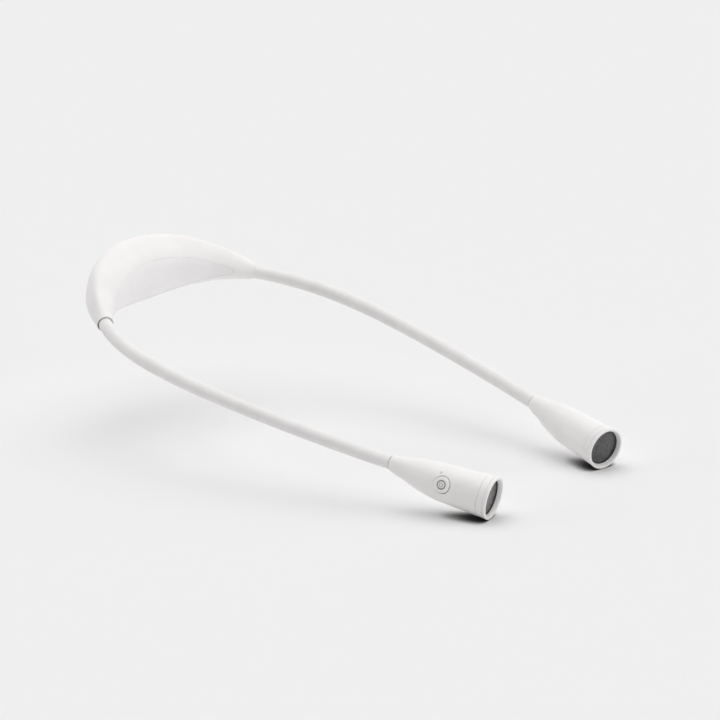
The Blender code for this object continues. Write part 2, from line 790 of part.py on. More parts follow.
def swept_lead(name, spots, origin, up_way):
    """A round lead along a line of points."""
    rings = []
    for step, spot in enumerate(spots):
        before = spots[max(step - 1, 0)]
        after = spots[min(step + 1, len(spots) - 1)]
        way = (after - before).normalized()
        across = way.cross(up_way).normalized()
        rings.append(circle(spot, across, across.cross(way), LEAD_RADIUS, LEAD_SIDES))
    new_object(name, *loft(rings), LEAD_BLACK, origin)


def lead_spot(side, at, lift, outward_shift):
    point, leftward, outward, up = housing_frame(side, at)
    return point + up * lift + outward * outward_shift


def build_housing_leads(origin):
    """The left lead runs from the board to its arm, the right lead over the cell to the other arm."""
    end = -(ROOT_DEPTH + CRIMP_LENGTH + 2 * GAP)
    start = -HALF_HOUSING * (1 - BOARD_STATION_SHARE) + CHARGE_BOARD_LENGTH * HALF - CUT_OVER
    shift = CHARGE_BOARD_INNER - LEAD_OVER_BOARD
    spots = []
    for step in range(HOUSING_LEAD_RINGS // 2):
        share = step / (HOUSING_LEAD_RINGS // 2 - 1)
        spots.append(lead_spot(1, between(start, end, share), 0, shift * (1 - share)))
    swept_lead("lead_left", spots, origin, HOUSING_UP)
    start = -HALF_HOUSING * (1 - BOARD_STATION_SHARE) - CHARGE_BOARD_LENGTH * HALF + CUT_OVER
    travel = (start + HALF_HOUSING) + (HALF_HOUSING + end)
    spots = []
    for step in range(HOUSING_LEAD_RINGS * 2):
        share = step / (HOUSING_LEAD_RINGS * 2 - 1)
        along = start + HALF_HOUSING - travel * share
        side = 1 if along >= 0 else -1
        at = abs(along) - HALF_HOUSING
        top = section_offset(housing_share(at), UPWARD)[1] - OUTER_WALL - LEAD_ROOF_GAP
        rise = min(share / LEAD_RISE_SHARE, 1)
        ease = min(rise, (1 - share) / LEAD_FALL_SHARE)
        spots.append(lead_spot(side, at, min(top, LEAD_OVER_CELL) * ease, shift * (1 - rise)))
    swept_lead("lead_right", spots, origin, HOUSING_OUTWARD)


# Arms


def ball_rings(at):
    """Rings over the rounded end of a link, beyond the joint centre, to the mouth of its bore."""
    reach = math.asin(SLEEVE_BORE / SLEEVE_RADIUS)
    rings = []
    for step in range(BALL_RINGS + 1):
        angle = between(math.pi * HALF, reach, step / BALL_RINGS)
        rings.append((at + SLEEVE_RADIUS * math.cos(angle), SLEEVE_RADIUS * math.sin(angle)))
    return rings


def cup_rings(at):
    """The hollow start of a link, from its bore out to its rim, round the joint centre."""
    inner = math.asin(SLEEVE_BORE / JOINT_RADIUS)
    outer = math.asin((SLEEVE_RADIUS - JOINT_LAND) / JOINT_RADIUS)
    rings = []
    for step in range(CUP_RINGS + 1):
        angle = between(inner, outer, step / CUP_RINGS)
        rings.append((at + JOINT_RADIUS * math.cos(angle), JOINT_RADIUS * math.sin(angle)))
    return rings


def run(start, end, radius, count):
    return [(between(start, end, step / (count - 1)), radius) for step in range(count)]


def sleeve(name, side, stations, origin):
    rings = [trail_ring(side, at, radius, SLEEVE_SIDES) for at, radius in stations]
    return new_object(name, *loft(rings, tube=True), WHITE_SILICONE, origin)


def core(name, side, stations, origin, finish=STEEL):
    rings = [trail_ring(side, at, radius, CORE_SIDES) for at, radius in stations]
    return new_object(name, *loft(rings), finish, origin)


def build_arm(name, side):
    first = joint_at(0)
    origin = trail_point(side, first)
    # Root: from inside the housing to the first joint
    stations = run(-ROOT_DEPTH, first, SLEEVE_RADIUS, LINK_RINGS)
    stations += ball_rings(first)[1:]
    stations += run(first, -ROOT_DEPTH, SLEEVE_BORE, LINK_RINGS)
    sleeve("sleeve_root_" + name, side, stations, Vector())
    crimp_end = -ROOT_DEPTH - GAP
    crimp_start = crimp_end - CRIMP_LENGTH
    stations = [(crimp_start, ROOT_CRIMP_RADIUS), (crimp_end, ROOT_CRIMP_RADIUS)]
    stations.append((crimp_end, CORE_RADIUS))
    stations += run(-ROOT_DEPTH, first, CORE_RADIUS, LINK_RINGS)
    stations.append((first + CORE_REACH, CORE_RADIUS))
    core("core_root_" + name, side, stations, Vector())
    # Links between the joints
    for number in range(JOINT_COUNT - 1):
        start = joint_at(number)
        end = joint_at(number + 1)
        origin = trail_point(side, start)
        cup = cup_rings(start)
        rim = cup[-1][0]
        stations = run(rim, end, SLEEVE_RADIUS, LINK_RINGS)
        stations += ball_rings(end)[1:]
        bore = run(end, cup[0][0], SLEEVE_BORE, LINK_RINGS)
        stations += bore + cup[1:]
        sleeve("sleeve_" + name + "_" + str(number + 1), side, stations, origin)
        stations = [(at, CORE_RADIUS) for at, radius in bore[:-1]]
        stations = [(start + CORE_SETBACK, CORE_RADIUS)] + stations[::-1]
        stations.append((end + CORE_REACH, CORE_RADIUS))
        core("core_" + name + "_" + str(number + 1), side, stations, origin)
    # Tail: from the last joint into the head
    last = joint_at(JOINT_COUNT - 1)
    origin = trail_point(side, last)
    cup = cup_rings(last)
    neck = ARM_LENGTH - SEAM_WIDTH
    spigot = ARM_LENGTH + SPIGOT_LENGTH
    stations = [(cup[-1][0], SLEEVE_RADIUS), (neck, SLEEVE_RADIUS), (neck, SEAM_RADIUS)]
    stations += [(spigot, SEAM_RADIUS), (spigot, SLEEVE_BORE), (cup[0][0], SLEEVE_BORE)]
    stations += cup[1:]
    sleeve("sleeve_tail_" + name, side, stations, origin)
    crimp = ARM_LENGTH + TAIL_CRIMP_SHIFT
    stations = [(last + CORE_SETBACK, CORE_RADIUS), (crimp, CORE_RADIUS)]
    stations += [(crimp, TAIL_CRIMP_RADIUS), (crimp + CRIMP_LENGTH, TAIL_CRIMP_RADIUS)]
    core("core_tail_" + name, side, stations, origin)


# Heads


def head_profile():
    """Distance, radius and offset below the arm's line, for each row of the shares."""
    return [
        (
            SHELL_LENGTH * along,
            between(NECK_RADIUS, FRONT_RADIUS, growth),
            HEAD_OFFSET * drop,
        )
        for along, growth, drop in HEAD_PROFILE_SHARES
    ]


HEAD_PROFILE = head_profile()
BUTTON_CENTRE_RADIUS = table_value(HEAD_PROFILE, BUTTON_ALONG, 1)
BUTTON_CENTRE_OFFSET = table_value(HEAD_PROFILE, BUTTON_ALONG, 2)
BUTTON_CONE = math.atan2(
    table_value(HEAD_PROFILE, BUTTON_ALONG + BUTTON_FLANGE_RADIUS, 1)
    - table_value(HEAD_PROFILE, BUTTON_ALONG - BUTTON_FLANGE_RADIUS, 1),
    2 * BUTTON_FLANGE_RADIUS,
)
BUTTON_WALL_RADIUS = BUTTON_CENTRE_RADIUS - HEAD_WALL
BUTTON_FLANGE_FRONT = (
    math.sqrt(BUTTON_WALL_RADIUS**2 - BUTTON_FLANGE_RADIUS**2) - BUTTON_FLANGE_GAP
)
BUTTON_FLANGE_BACK = BUTTON_FLANGE_FRONT - BUTTON_FLANGE_THICKNESS
BUTTON_STEM_END = BUTTON_FLANGE_BACK - BUTTON_STEM_LENGTH
SWITCH_FRONT = BUTTON_FLANGE_BACK - BUTTON_TRAVEL - SWITCH_GAP
SWITCH_BACK = SWITCH_FRONT - SWITCH_HEIGHT
BOARD_FRONT = SWITCH_BACK - GAP
BOARD_BACK = BOARD_FRONT - BOARD_THICKNESS
# The switch board runs from the lead's room behind the neck to just behind the LED board.
# Its narrow end fills the shell's bore there, less a gap at each edge.
BOARD_REAR_ALONG = TAIL_CRIMP_SHIFT + CRIMP_LENGTH + BOARD_LEAD_ROOM
BOARD_REAR_REACH = BUTTON_ALONG - BOARD_REAR_ALONG
BOARD_FRONT_REACH = LED_BOARD_BACK - BOARD_LED_GAP - BUTTON_ALONG
BOARD_END_BORE = (table_value(HEAD_PROFILE, BOARD_REAR_ALONG, 1) - HEAD_WALL) * math.cos(
    math.pi / HEAD_SIDES
)
BOARD_AXIS_SHIFT = BUTTON_CENTRE_OFFSET - table_value(HEAD_PROFILE, BOARD_REAR_ALONG, 2)
BOARD_WIDTH = 2 * (BOARD_END_BORE - BOARD_AXIS_SHIFT - GAP)


class HeadFrame:
    """A head's own directions: along its axis, outward to its side, and up."""

    def __init__(self, side):
        way = direction(math.radians(HEAD_SPREAD_DEG), math.radians(HEAD_DROP_DEG))
        self.way = on_side(way, side)
        self.start = trail_point(side, ARM_LENGTH)
        self.outward = Vector((-self.way.y * side, self.way.x * side, 0)).normalized()
        self.up = self.way.cross(self.outward) * side
        self.joint = trail_point(side, joint_at(JOINT_COUNT - 1))

    def spot(self, along, offset):
        return self.start + self.way * along - self.up * offset

    def ring(self, along, radius, offset, count=HEAD_SIDES):
        return circle(self.spot(along, offset), self.outward, self.up, radius, count)

    def lathe(self, name, path, finish, tube, offset=HEAD_OFFSET, count=HEAD_SIDES, turn=0):
        rings = [self.ring(along, radius, offset, count) for along, radius in path]
        return new_object(name, *loft(rings, tube), finish, self.joint, turn)

    def side_way(self, raise_deg):
        angle = math.radians(raise_deg)
        return self.outward * math.cos(angle) + self.up * math.sin(angle)


def build_head_shell(frame, name):
    rings = []
    for along, radius, offset in HEAD_PROFILE:
        rings.append(frame.ring(along, radius, offset))
    rings.append(frame.ring(SHELL_LENGTH, SHELL_LIP_OUTER, HEAD_OFFSET))
    rings.append(frame.ring(SHELL_LIP_END, SHELL_LIP_OUTER, HEAD_OFFSET))
    rings.append(frame.ring(SHELL_LIP_END, SHELL_LIP_INNER, HEAD_OFFSET))
    for along, radius, offset in HEAD_PROFILE[-2 : INNER_PROFILE_START - 1 : -1]:
        rings.append(frame.ring(along, radius - HEAD_WALL, offset))
    inner_radius = table_value(HEAD_PROFILE, NECK_DEPTH, 1) - HEAD_WALL
    inner_offset = table_value(HEAD_PROFILE, NECK_DEPTH, 2)
    rings.append(frame.ring(NECK_DEPTH, inner_radius, inner_offset))
    rings.append(frame.ring(NECK_DEPTH, NECK_BORE, 0))
    rings.append(frame.ring(0, NECK_BORE, 0))
    return new_object("head_shell_" + name, *loft(rings, tube=True), WHITE_PLASTIC, frame.joint)


def build_front(frame, name):
    path = [
        (BEZEL_START, FRONT_RADIUS),
        (BEZEL_WAIST, FRONT_RADIUS),
        (BEZEL_END - RIM_ROUND, RIM_RADIUS),
        (BEZEL_END, RIM_RADIUS - RIM_ROUND),
        (BEZEL_END, BEZEL_OPENING + RIM_BEVEL),
        (BEZEL_END - RIM_BEVEL, BEZEL_OPENING),
        (BEZEL_LIP_BACK, BEZEL_OPENING),
        (BEZEL_LIP_BACK, BEZEL_POCKET),
        (BEZEL_START, BEZEL_POCKET),
    ]
    frame.lathe("bezel_" + name, path, WHITE_PLASTIC, True, turn=1)
    path = [
        (LENS_BACK, LENS_RADIUS),
        (LENS_FRONT - LENS_EDGE, LENS_RADIUS),
        (LENS_FRONT, LENS_RADIUS - LENS_EDGE),
    ]
    frame.lathe("lens_" + name, path, DARK_LENS, False)
    inner = []
    for step in range(REFLECTOR_RINGS + 1):
        share = step / REFLECTOR_RINGS
        radius = between(REFLECTOR_THROAT, REFLECTOR_MOUTH, math.sqrt(share))
        inner.append((between(REFLECTOR_BACK, REFLECTOR_FRONT, share), radius))
    outer = [(along, radius + REFLECTOR_WALL) for along, radius in inner[::-1]]
    frame.lathe("reflector_" + name, inner + outer, ALUMINIUM, True)
    radius = table_value(HEAD_PROFILE, LED_BOARD_BACK, 1) - HEAD_WALL - GAP
    path = [(LED_BOARD_BACK, radius), (LED_BOARD_FRONT, radius)]
    frame.lathe("led_board_" + name, path, ALUMINIUM, False, turn=2)
    path = [
        (LED_BACK, LED_RADIUS),
        (LED_BACK + LED_BODY, LED_RADIUS),
        (LED_BACK + LED_BODY + LED_DOME, LED_RADIUS * LED_DOME_SHARE),
    ]
    frame.lathe("led_" + name, path, LED_YELLOW, False, count=LED_SIDES)


class ButtonFrame:
    """The button's directions: out along its travel, along the head, and across."""

    def __init__(self, frame):
        straight = frame.side_way(BUTTON_RAISE_DEG)
        self.out = straight * math.cos(BUTTON_CONE) - frame.way * math.sin(BUTTON_CONE)
        self.along = frame.way * math.cos(BUTTON_CONE) + straight * math.sin(BUTTON_CONE)
        self.across = self.out.cross(self.along)
        self.centre = frame.spot(BUTTON_ALONG, BUTTON_CENTRE_OFFSET)

    def level(self, height):
        return self.centre + self.out * height

    def ring(self, height, radius, count=BUTTON_SIDES):
        return circle(self.level(height), self.along, self.across, radius, count)

    def crown(self, radius, proud):
        """A ring that follows the round side of the head, a little proud of it."""
        ring = []
        for step in range(BUTTON_SIDES):
            angle = FULL_TURN * step / BUTTON_SIDES
            shift = radius * math.sin(angle)
            height = math.sqrt(BUTTON_CENTRE_RADIUS**2 - shift**2) + proud
            ring.append(
                self.level(height) + self.along * (radius * math.cos(angle)) + self.across * shift
            )
        return ring


def build_button(frame, name, shell):
    button = ButtonFrame(frame)
    rings = [
        button.ring(BUTTON_STEM_END, BUTTON_STEM_RADIUS),
        button.ring(BUTTON_FLANGE_BACK, BUTTON_STEM_RADIUS),
        button.ring(BUTTON_FLANGE_BACK, BUTTON_FLANGE_RADIUS),
        button.ring(BUTTON_FLANGE_FRONT, BUTTON_FLANGE_RADIUS),
        button.ring(BUTTON_FLANGE_FRONT, BUTTON_RADIUS),
        button.crown(BUTTON_RADIUS, BUTTON_PROUD - BUTTON_EDGE),
        button.crown(BUTTON_RADIUS - BUTTON_EDGE, BUTTON_PROUD),
        button.crown(BUTTON_RADIUS * BUTTON_INNER_SHARE, BUTTON_PROUD),
    ]
    points, faces = loft(rings)
    points[-1] = button.level(BUTTON_CENTRE_RADIUS + BUTTON_PROUD)
    origin = button.level(BUTTON_FLANGE_BACK)
    new_object("button_" + name, points, faces, WHITE_PLASTIC, origin, turn=2)
    hole = rod(
        button.level(BUTTON_FLANGE_FRONT),
        button.level(BUTTON_CENTRE_RADIUS + CUT_OVER),
        BUTTON_HOLE_RADIUS,
        BUTTON_SIDES,
    )
    change(shell, cutter("cut_button_hole_" + name, *hole, frame.joint), "DIFFERENCE")
    axes = (button.along, button.across, button.out)
    size = (SWITCH_SIDE, SWITCH_SIDE, SWITCH_FRONT - SWITCH_BACK)
    middle = button.level((SWITCH_FRONT + SWITCH_BACK) * HALF)
    switch = new_object("push_switch_" + name, *block(middle, axes, size), BLACK_PLASTIC, frame.joint)
    well = rod(
        button.level(SWITCH_FRONT - SWITCH_WELL_DEPTH),
        button.level(SWITCH_FRONT + SWITCH_WELL_DEPTH),
        SWITCH_WELL_RADIUS,
        BUTTON_SIDES,
    )
    change(switch, cutter("cut_switch_well_" + name, *well, frame.joint), "DIFFERENCE")
    size = (BOARD_REAR_REACH + BOARD_FRONT_REACH, BOARD_WIDTH, BOARD_THICKNESS)
    middle = button.level((BOARD_FRONT + BOARD_BACK) * HALF)
    middle = middle + button.along * ((BOARD_FRONT_REACH - BOARD_REAR_REACH) * HALF)
    board = new_object("switch_board_" + name, *block(middle, axes, size), BOARD_GREEN, frame.joint)
    middle = button.level(BOARD_BACK - CHIP_HEIGHT * HALF + CHIP_SINK)
    middle = middle + button.along * (BOARD_FRONT_REACH - CHIP_INSET)
    chip = block(middle, axes, (CHIP_LENGTH, CHIP_WIDTH, CHIP_HEIGHT))
    change(board, cutter("add_chip_" + name, *chip, frame.joint), "UNION")
    return button


def build_indicator(frame, name, shell):
    way = frame.side_way(INDICATOR_RAISE_DEG)
    offset = table_value(HEAD_PROFILE, INDICATOR_ALONG, 2)
    centre = frame.spot(INDICATOR_ALONG, offset)
    skin = table_value(HEAD_PROFILE, INDICATOR_ALONG, 1)
    back = centre + way * (skin - HEAD_WALL + INDICATOR_RECESS)
    pin = rod(back, centre + way * (skin + INDICATOR_PROUD), INDICATOR_RADIUS, INDICATOR_SIDES)
    new_object("indicator_" + name, *pin, CLEAR_PIN, frame.joint)
    hole = rod(
        back - way * (INDICATOR_RECESS + CUT_OVER),
        centre + way * (skin + CUT_OVER),
        INDICATOR_HOLE_RADIUS,
        INDICATOR_SIDES,
    )
    change(shell, cutter("cut_indicator_hole_" + name, *hole, frame.joint), "DIFFERENCE")


def build_head_lead(frame, name, button):
    start_along = TAIL_CRIMP_SHIFT + CRIMP_LENGTH + GAP
    first = frame.spot(start_along, 0)
    second = first + frame.way * LEAD_CLEAR
    height = BOARD_FRONT + LEAD_OVER_BOARD
    third = button.level(height) - button.along * (BOARD_REAR_REACH + LEAD_BOARD_RUN_IN)
    fourth = button.level(height) - button.along * (BOARD_REAR_REACH - LEAD_BOARD_OVERLAP)
    spots = [first, second]
    for step in range(1, HEAD_LEAD_RINGS):
        share = step / HEAD_LEAD_RINGS
        ease = share * share * (3 - 2 * share)
        straight = second.lerp(third, share)
        rise = (third - second).dot(button.out)
        spots.append(straight + button.out * (rise * (ease - share)))
    spots += [third, fourth]
    swept_lead("lead_head_" + name, spots, frame.joint, button.across)


def build_head(name, side):
    frame = HeadFrame(side)
    shell = build_head_shell(frame, name)
    build_front(frame, name)
    button = build_button(frame, name, shell)
    build_indicator(frame, name, shell)
    build_head_lead(frame, name, button)


def main():
    clear_scene()
    bpy.context.scene.unit_settings.system = "METRIC"
    build_housing()
    for name, side in SIDES:
        build_arm(name, side)
        build_head(name, side)


main()
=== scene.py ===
"""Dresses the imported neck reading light: housing, sleeves, lamp heads, materials, stage and camera."""

from bisect import bisect_right
from math import atan2, ceil, cos, degrees, pi, radians, sin, sqrt

import bmesh
import bpy
from bpy.props import FloatProperty, FloatVectorProperty, PointerProperty
from mathutils import Matrix, Vector


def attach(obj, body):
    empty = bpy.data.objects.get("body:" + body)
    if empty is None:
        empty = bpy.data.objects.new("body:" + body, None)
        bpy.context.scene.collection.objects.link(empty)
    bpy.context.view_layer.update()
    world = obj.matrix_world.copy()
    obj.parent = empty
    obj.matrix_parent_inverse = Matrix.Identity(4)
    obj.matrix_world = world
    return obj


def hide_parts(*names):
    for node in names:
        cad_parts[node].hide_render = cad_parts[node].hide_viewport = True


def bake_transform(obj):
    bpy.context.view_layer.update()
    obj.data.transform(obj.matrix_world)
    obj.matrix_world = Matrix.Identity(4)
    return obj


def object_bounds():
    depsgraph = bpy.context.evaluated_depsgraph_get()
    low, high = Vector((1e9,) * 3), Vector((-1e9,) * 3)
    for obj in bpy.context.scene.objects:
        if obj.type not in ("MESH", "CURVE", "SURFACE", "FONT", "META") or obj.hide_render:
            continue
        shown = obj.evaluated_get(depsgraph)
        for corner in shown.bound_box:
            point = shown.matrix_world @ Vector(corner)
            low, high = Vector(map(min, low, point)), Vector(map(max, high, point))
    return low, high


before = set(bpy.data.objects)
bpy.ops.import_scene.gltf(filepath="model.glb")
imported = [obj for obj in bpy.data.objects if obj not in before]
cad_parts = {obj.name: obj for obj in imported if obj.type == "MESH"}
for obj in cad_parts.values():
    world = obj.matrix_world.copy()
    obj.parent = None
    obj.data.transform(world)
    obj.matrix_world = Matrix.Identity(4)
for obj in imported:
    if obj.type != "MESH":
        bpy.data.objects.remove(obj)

bl_info = {
    "name": "Neck reading light",
    "version": (1, 0, 0),
    "blender": (4, 5, 0),
    "location": "3D View > Sidebar > Reading light",
    "description": "Builds the housing, arms, lamp heads, materials and stage of a neck reading light",
    "category": "Object",
}

CAD_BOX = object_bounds()
SIDES = (("left", 1), ("right", -1))
FULL_TURN = 2 * pi
QUARTER_TURN = pi / 2
GAP = 0.0003
EDGE_ROUND = 0.00012
SHARP_ANGLE = radians(40)
STRAIGHT_ANGLE = radians(150)
JOINT_COUNT = 6

# Points in each kind of ring
HOUSING_SIDES = 96
CAVITY_SIDES = 48
BORE_SIDES = 64
SLEEVE_SIDES = 48
SHELL_SIDES = 72
RIM_SIDES = 96
BUTTON_SIDES = 64
PIN_SIDES = 32
SLOT_CORNER_POINTS = 7
LEAF_POINTS = 25
OPENING_POINTS = 9

# Rings along half the housing, steps along both curves, and distance between other rings
HOUSING_RINGS = 64
CAVITY_RINGS = 20
SEAT_RINGS = 40
OPENING_RINGS = 24
COVER_RINGS = 56
CURVE_STEPS = 240
ARM_STEPS = 436
WAY_STEP = 0.001
SLEEVE_STEP = 0.001
SLEEVE_BORE_STEP = 0.002
SHELL_STEP = 0.0012
SHELL_BORE_STEP = 0.0025

# Housing: powers of its section's inner and outer half, and of each size's fall toward the ends
ROUND_POWER = 2.0
INNER_POWER = 4.0
OUTER_POWER = 1.9
HEIGHT_FALL = 1.2
THICKNESS_FALL = 1.25
CREST_FALL = 0.8
# Rounding of its ends: where it starts, then (distance, scale of the section)
END_ROUND = 0.0004
END_STEPS = ((-0.0002, 0.995), (-0.00006, 0.985), (0, 0.968))
# Bore of its sockets: how far it runs on, then (distance, share of the mouth's flare and shift)
BORE_RUN = 0.0045
BORE_STEPS = ((-0.006, 0, 0), (-0.0022, 0, 0), (-0.0010, 0.5, 0.5), (0.0, 1, 1), (0.001, 1.4, 1))
# How often the inner face's angle is halved
HALVINGS = 24
# Cavity, cover, its seat and the opening behind it; edges are (growth, depth), face to back
CAVITY_END = 0.83
COVER_SEAM = 0.0001
COVER_EDGE = ((0.00012, 0.0), (0.00004, 0.00003), (0.0, 0.00012), (0.0, 0.0005))
COVER_STEP = 0.0006
COVER_POINT = 0.003
SEAT_EDGE = ((GAP, -0.001), (GAP, 0.0004))
OPENING_END = -0.006
OPENING_GROW = -0.0012
OPENING_FACE = 0.0010
OPENING_BACK = 0.001

# Charging socket: share along the housing, shift outward, lift of can and tongue, and
# (half width, half height, corner radius, levels) of its hole, can and tongue
SOCKET_SHARE = 0.50
SOCKET_SHIFT = 0.0017 - GAP - 0.00135
SOCKET_LIFT = 0.0005
SOCKET_HOLE = ((0.0041, 0.00165, 0.0013, (-0.001, 0.0026)),)
SOCKET_CAN = (
    (0.0038, 0.00135, 0.00115, (0.005, 0.0001)),
    (0.00372, 0.00127, 0.00109, (0.0,)),
    (0.00348, 0.00103, 0.00085, (0.0,)),
    (0.0034, 0.00095, 0.00077, (0.0001, 0.0036)),
)
SOCKET_TONGUE = ((0.0024, 0.0003, 0.0002, (0.0036, 0.0009)), (0.0022, 0.00018, 0.0001, (0.0007,)))
# Light pins: (height, radius), the indicator's as shares of its own radius
LIGHT_SHARE = 0.655
LIGHT_HOLE = ((-0.001, 0.001), (0.0026, 0.001))
LIGHT_PIN = ((0.0026, 0.0007), (0.0001, 0.0007), (0.00003, 0.00064), (0.0, 0.0005), (-0.00003, 0.0002))
INDICATOR_GAP = 0.00008
INDICATOR_HOLE = (-0.003, 0.0008)
INDICATOR_PIN = (
    (-0.0011, 1), (-0.0001, 1), (0.00003, 0.93), (0.0001, 0.75), (0.00014, 0.45), (0.00016, 0.1),
)

# Sleeve: length in the socket that stays straight, (distance, inward) and (distance, outward) where
# its skin drops into the seam, and the two distances between which its bore narrows at each end
SOCKET_CLEAR = 0.002
SEAM_RUN = 0.0003
SEAM_EDGE = ((-0.0001, 0.00006), (0, 0.00022))
SEAM_FOOT = ((0.0001, 0.0001), (0.00025, 0))
ROOT_BORE_STEP = (0.0022, 0.0010)
HEAD_BORE_STEP = (0.0006, 0.0012)

# Head shell: where its smooth skin starts and ends, (back from the seam, inward) over its front
# edge, and the rounding of its lip
SHELL_START = 0.0005
SHELL_END = 0.0003
SHELL_EDGE = ((0.00012, 0.00003), (0.00003, 0.0001), (0.0, 0.0002))
LIP_ROUND = 0.0001
# Rim: seam behind it, end of its straight part, its groove and (distance, outward) over it
RIM_SEAM = 0.00012
RIM_STRAIGHT = 0.28
RIM_GROOVE = 0.0021
RIM_GROOVE_GROWTH = 0.55
RIM_GROOVE_STEPS = ((-0.00018, 0), (-0.00010, -0.00036), (0.00010, -0.00034), (0.00018, 0.00005))
RIM_ROUND = 0.0003
MOUTH_ROUND = 0.0002
# Lens: shares of its radius over its back and its domed front
LENS_BACK_SHARES = (0.02, 0.5, 0.98)
LENS_FRONT_SHARES = (0.975, 0.95, 0.9, 0.8, 0.7, 0.6, 0.5, 0.4, 0.3, 0.2, 0.1, 0.02)
LENS_DOME = 0.0003
LENS_BEVEL = 0.0002
LENS_SHOULDER = 0.0005
LENS_EDGE_DROP = 0.00038
LENS_EDGE_ROUND = 0.0001
# Black ring round the lens, painted shade of the rim on the lens's edge: its back and front behind the
# lens's front, its gap to the lens's edge
SHADOW_RING_BACK = 0.0004
SHADOW_RING_FRONT = 0.0001
SHADOW_RING_GAP = 0.0003

# Button: its hole (outward, height), its stem and flange, its edge (inward, down), the wall of its
# ring line (share of half its width, depth) and the power mark's opening, divisions and bar
HOLE_STEPS = ((0, -0.004), (0, -0.00034), (0.00008, -0.00018), (0.0003, 0.00004), (0.0006, 0.0004))
HOLE_TOP = 0.0006
HOLE_TOP_SHARE = 0.6
STEM_RADIUS = 0.0012
STEM_LENGTH = 0.0009
FLANGE_GAP = 0.0005
FLANGE_THICKNESS = 0.0008
CAP_EDGE = ((0, 0.0008), (0, 0.0003), (0.00005, 0.00016), (0.00016, 0.00005), (0.0004, 0))
RING_WALL = ((1.7, 0), (1.15, 0.00004), (1.0, 0.00014))
RING_FOOT = 0.9
CAP_CROWN = 0.00003
CROWN_SHARE = 0.4
CENTRE_RADIUS = 0.0002
INLAY_SINK = 0.0001
INLAY_RISE = 0.00025
MARK_SINK = 0.00006
MARK_RISE = 0.00007
MARK_OPENING = radians(38)
MARK_STEPS = 36
BAR_ENDS = (0.15, 1.28)
BAR_STEPS = 8

# Stage: shares between which the shadow painted on the floor fades, floor's distance below the
# solids, width of the camera's sensor in millimetres and depth of its view
PAINTED_SHADOW_RANGE = (0.34, 0.64)
FLOOR_GAP = 0.00002
SENSOR_WIDTH = 36
VIEW_DEPTH = 40

# Arm line: share of the arm's length, spread outward and drop, in degrees
ARM_DIRECTIONS = (
    (0.0, 38.5, 12.7),
    (0.064, 27.5, 13.0),
    (0.239, 7.0, 13.6),
    (0.413, -3.5, 13.8),
    (0.587, -7.8, 13.7),
    (0.761, -9.7, 13.4),
    (0.936, -12.6, 13.1),
    (1.0, -13.1, 12.2),
)
# Lamp head: shares of its length, of its growth in radius, of its offset below the arm's line
HEAD_SHAPE = (
    (0.0, 0.0, 0.0),
    (0.034, 0.057, 0.05),
    (0.094, 0.184, 0.16),
    (0.145, 0.247, 0.26),
    (0.198, 0.323, 0.42),
    (0.283, 0.500, 0.58),
    (0.376, 0.652, 0.74),
    (0.470, 0.759, 0.89),
    (0.564, 0.835, 1.0),
    (0.753, 0.905, 1.0),
    (0.886, 0.949, 1.0),
    (1.0, 1.0, 1.0),
)


def length(name, default, description):
    return FloatProperty(
        name=name, description=description, default=default, subtype="DISTANCE", unit="LENGTH", precision=5
    )


def angle(name, degrees, description):
    return FloatProperty(name=name, description=description, default=radians(degrees), subtype="ANGLE")


def number(name, default, description):
    return FloatProperty(name=name, description=description, default=default)


def colour(name, default, description):
    return FloatVectorProperty(
        name=name, description=description, default=default, subtype="COLOR", size=3, min=0, max=1
    )


class HousingSizes(bpy.types.PropertyGroup):
    half_span: length("Half span", 0.0689, "Middle to socket centre, sideways")
    depth: length("Depth", 0.0347, "Sockets in front of the middle")
    drop: length("Drop", 0.00845, "Sockets below the middle")
    middle_handle: length("Middle handle", 0.030, "Curve handle at the middle")
    end_handle: length("End handle", 0.0306, "Curve handle at the socket")
    tilt: angle("Tilt", 6, "Backward lean")
    height: length("Height", 0.0255, "Inner side at the middle")
    thickness: length("Thickness", 0.0285, "Thickness at the middle")
    crest: length("Crest", 0.0165, "Rise of the rear crest")
    end_diameter: length("End diameter", 0.010, "Outside of the round sockets")
    cover_top: number("Cover top", 0.47, "Reach upward, share of the height")
    cover_foot: number("Cover foot", 0.41, "Reach downward, share of the height")
    cover_end: number("Cover end", 0.84, "Share of the half housing")
    cover_thickness: length("Cover thickness", 0.0012, "Cover at the neck")
    outer_wall: length("Outer wall", 0.0016, "Rear wall")
    inner_wall: length("Inner wall", 0.0024, "Wall under the cover")
    bore_radius: length("Bore radius", 0.0043, "Socket that holds an arm")
    bore_depth: length("Bore depth", 0.0125, "Depth of that socket")
    mouth_flare: length("Mouth flare", 0.00025, "Widening at the socket's mouth")
    mouth_shift: length("Mouth shift", 0.0002, "Mouth outward of the arm's line")


class ArmSizes(bpy.types.PropertyGroup):
    first_joint: length("First joint", 0.014, "Socket to first joint")
    joint_spacing: length("Joint spacing", 0.038, "Distance between joints")
    tail: length("Tail", 0.014, "Last joint to head")
    radius: length("Sleeve radius", 0.004, "Outside of the silicone sleeve")
    bore: length("Sleeve bore", 0.0031, "Bore radius along the bends")
    end_bore: length("End bore", 0.0026, "Bore radius in socket and head")
    root_depth: length("Root depth", 0.009, "Sleeve inside the socket")
    groove_width: length("Groove width", 0.0005, "Seam in front of the head")
    seam_shift: length("Seam shift", 0.0009, "Head's shell past the arm's end")
    groove_radius: length("Groove radius", 0.0033, "Sleeve in that seam")
    spigot: length("Spigot", 0.0047, "Sleeve inside the head")
    bend_reach: length("Bend reach", 0.0135, "Bend to each side of a joint")


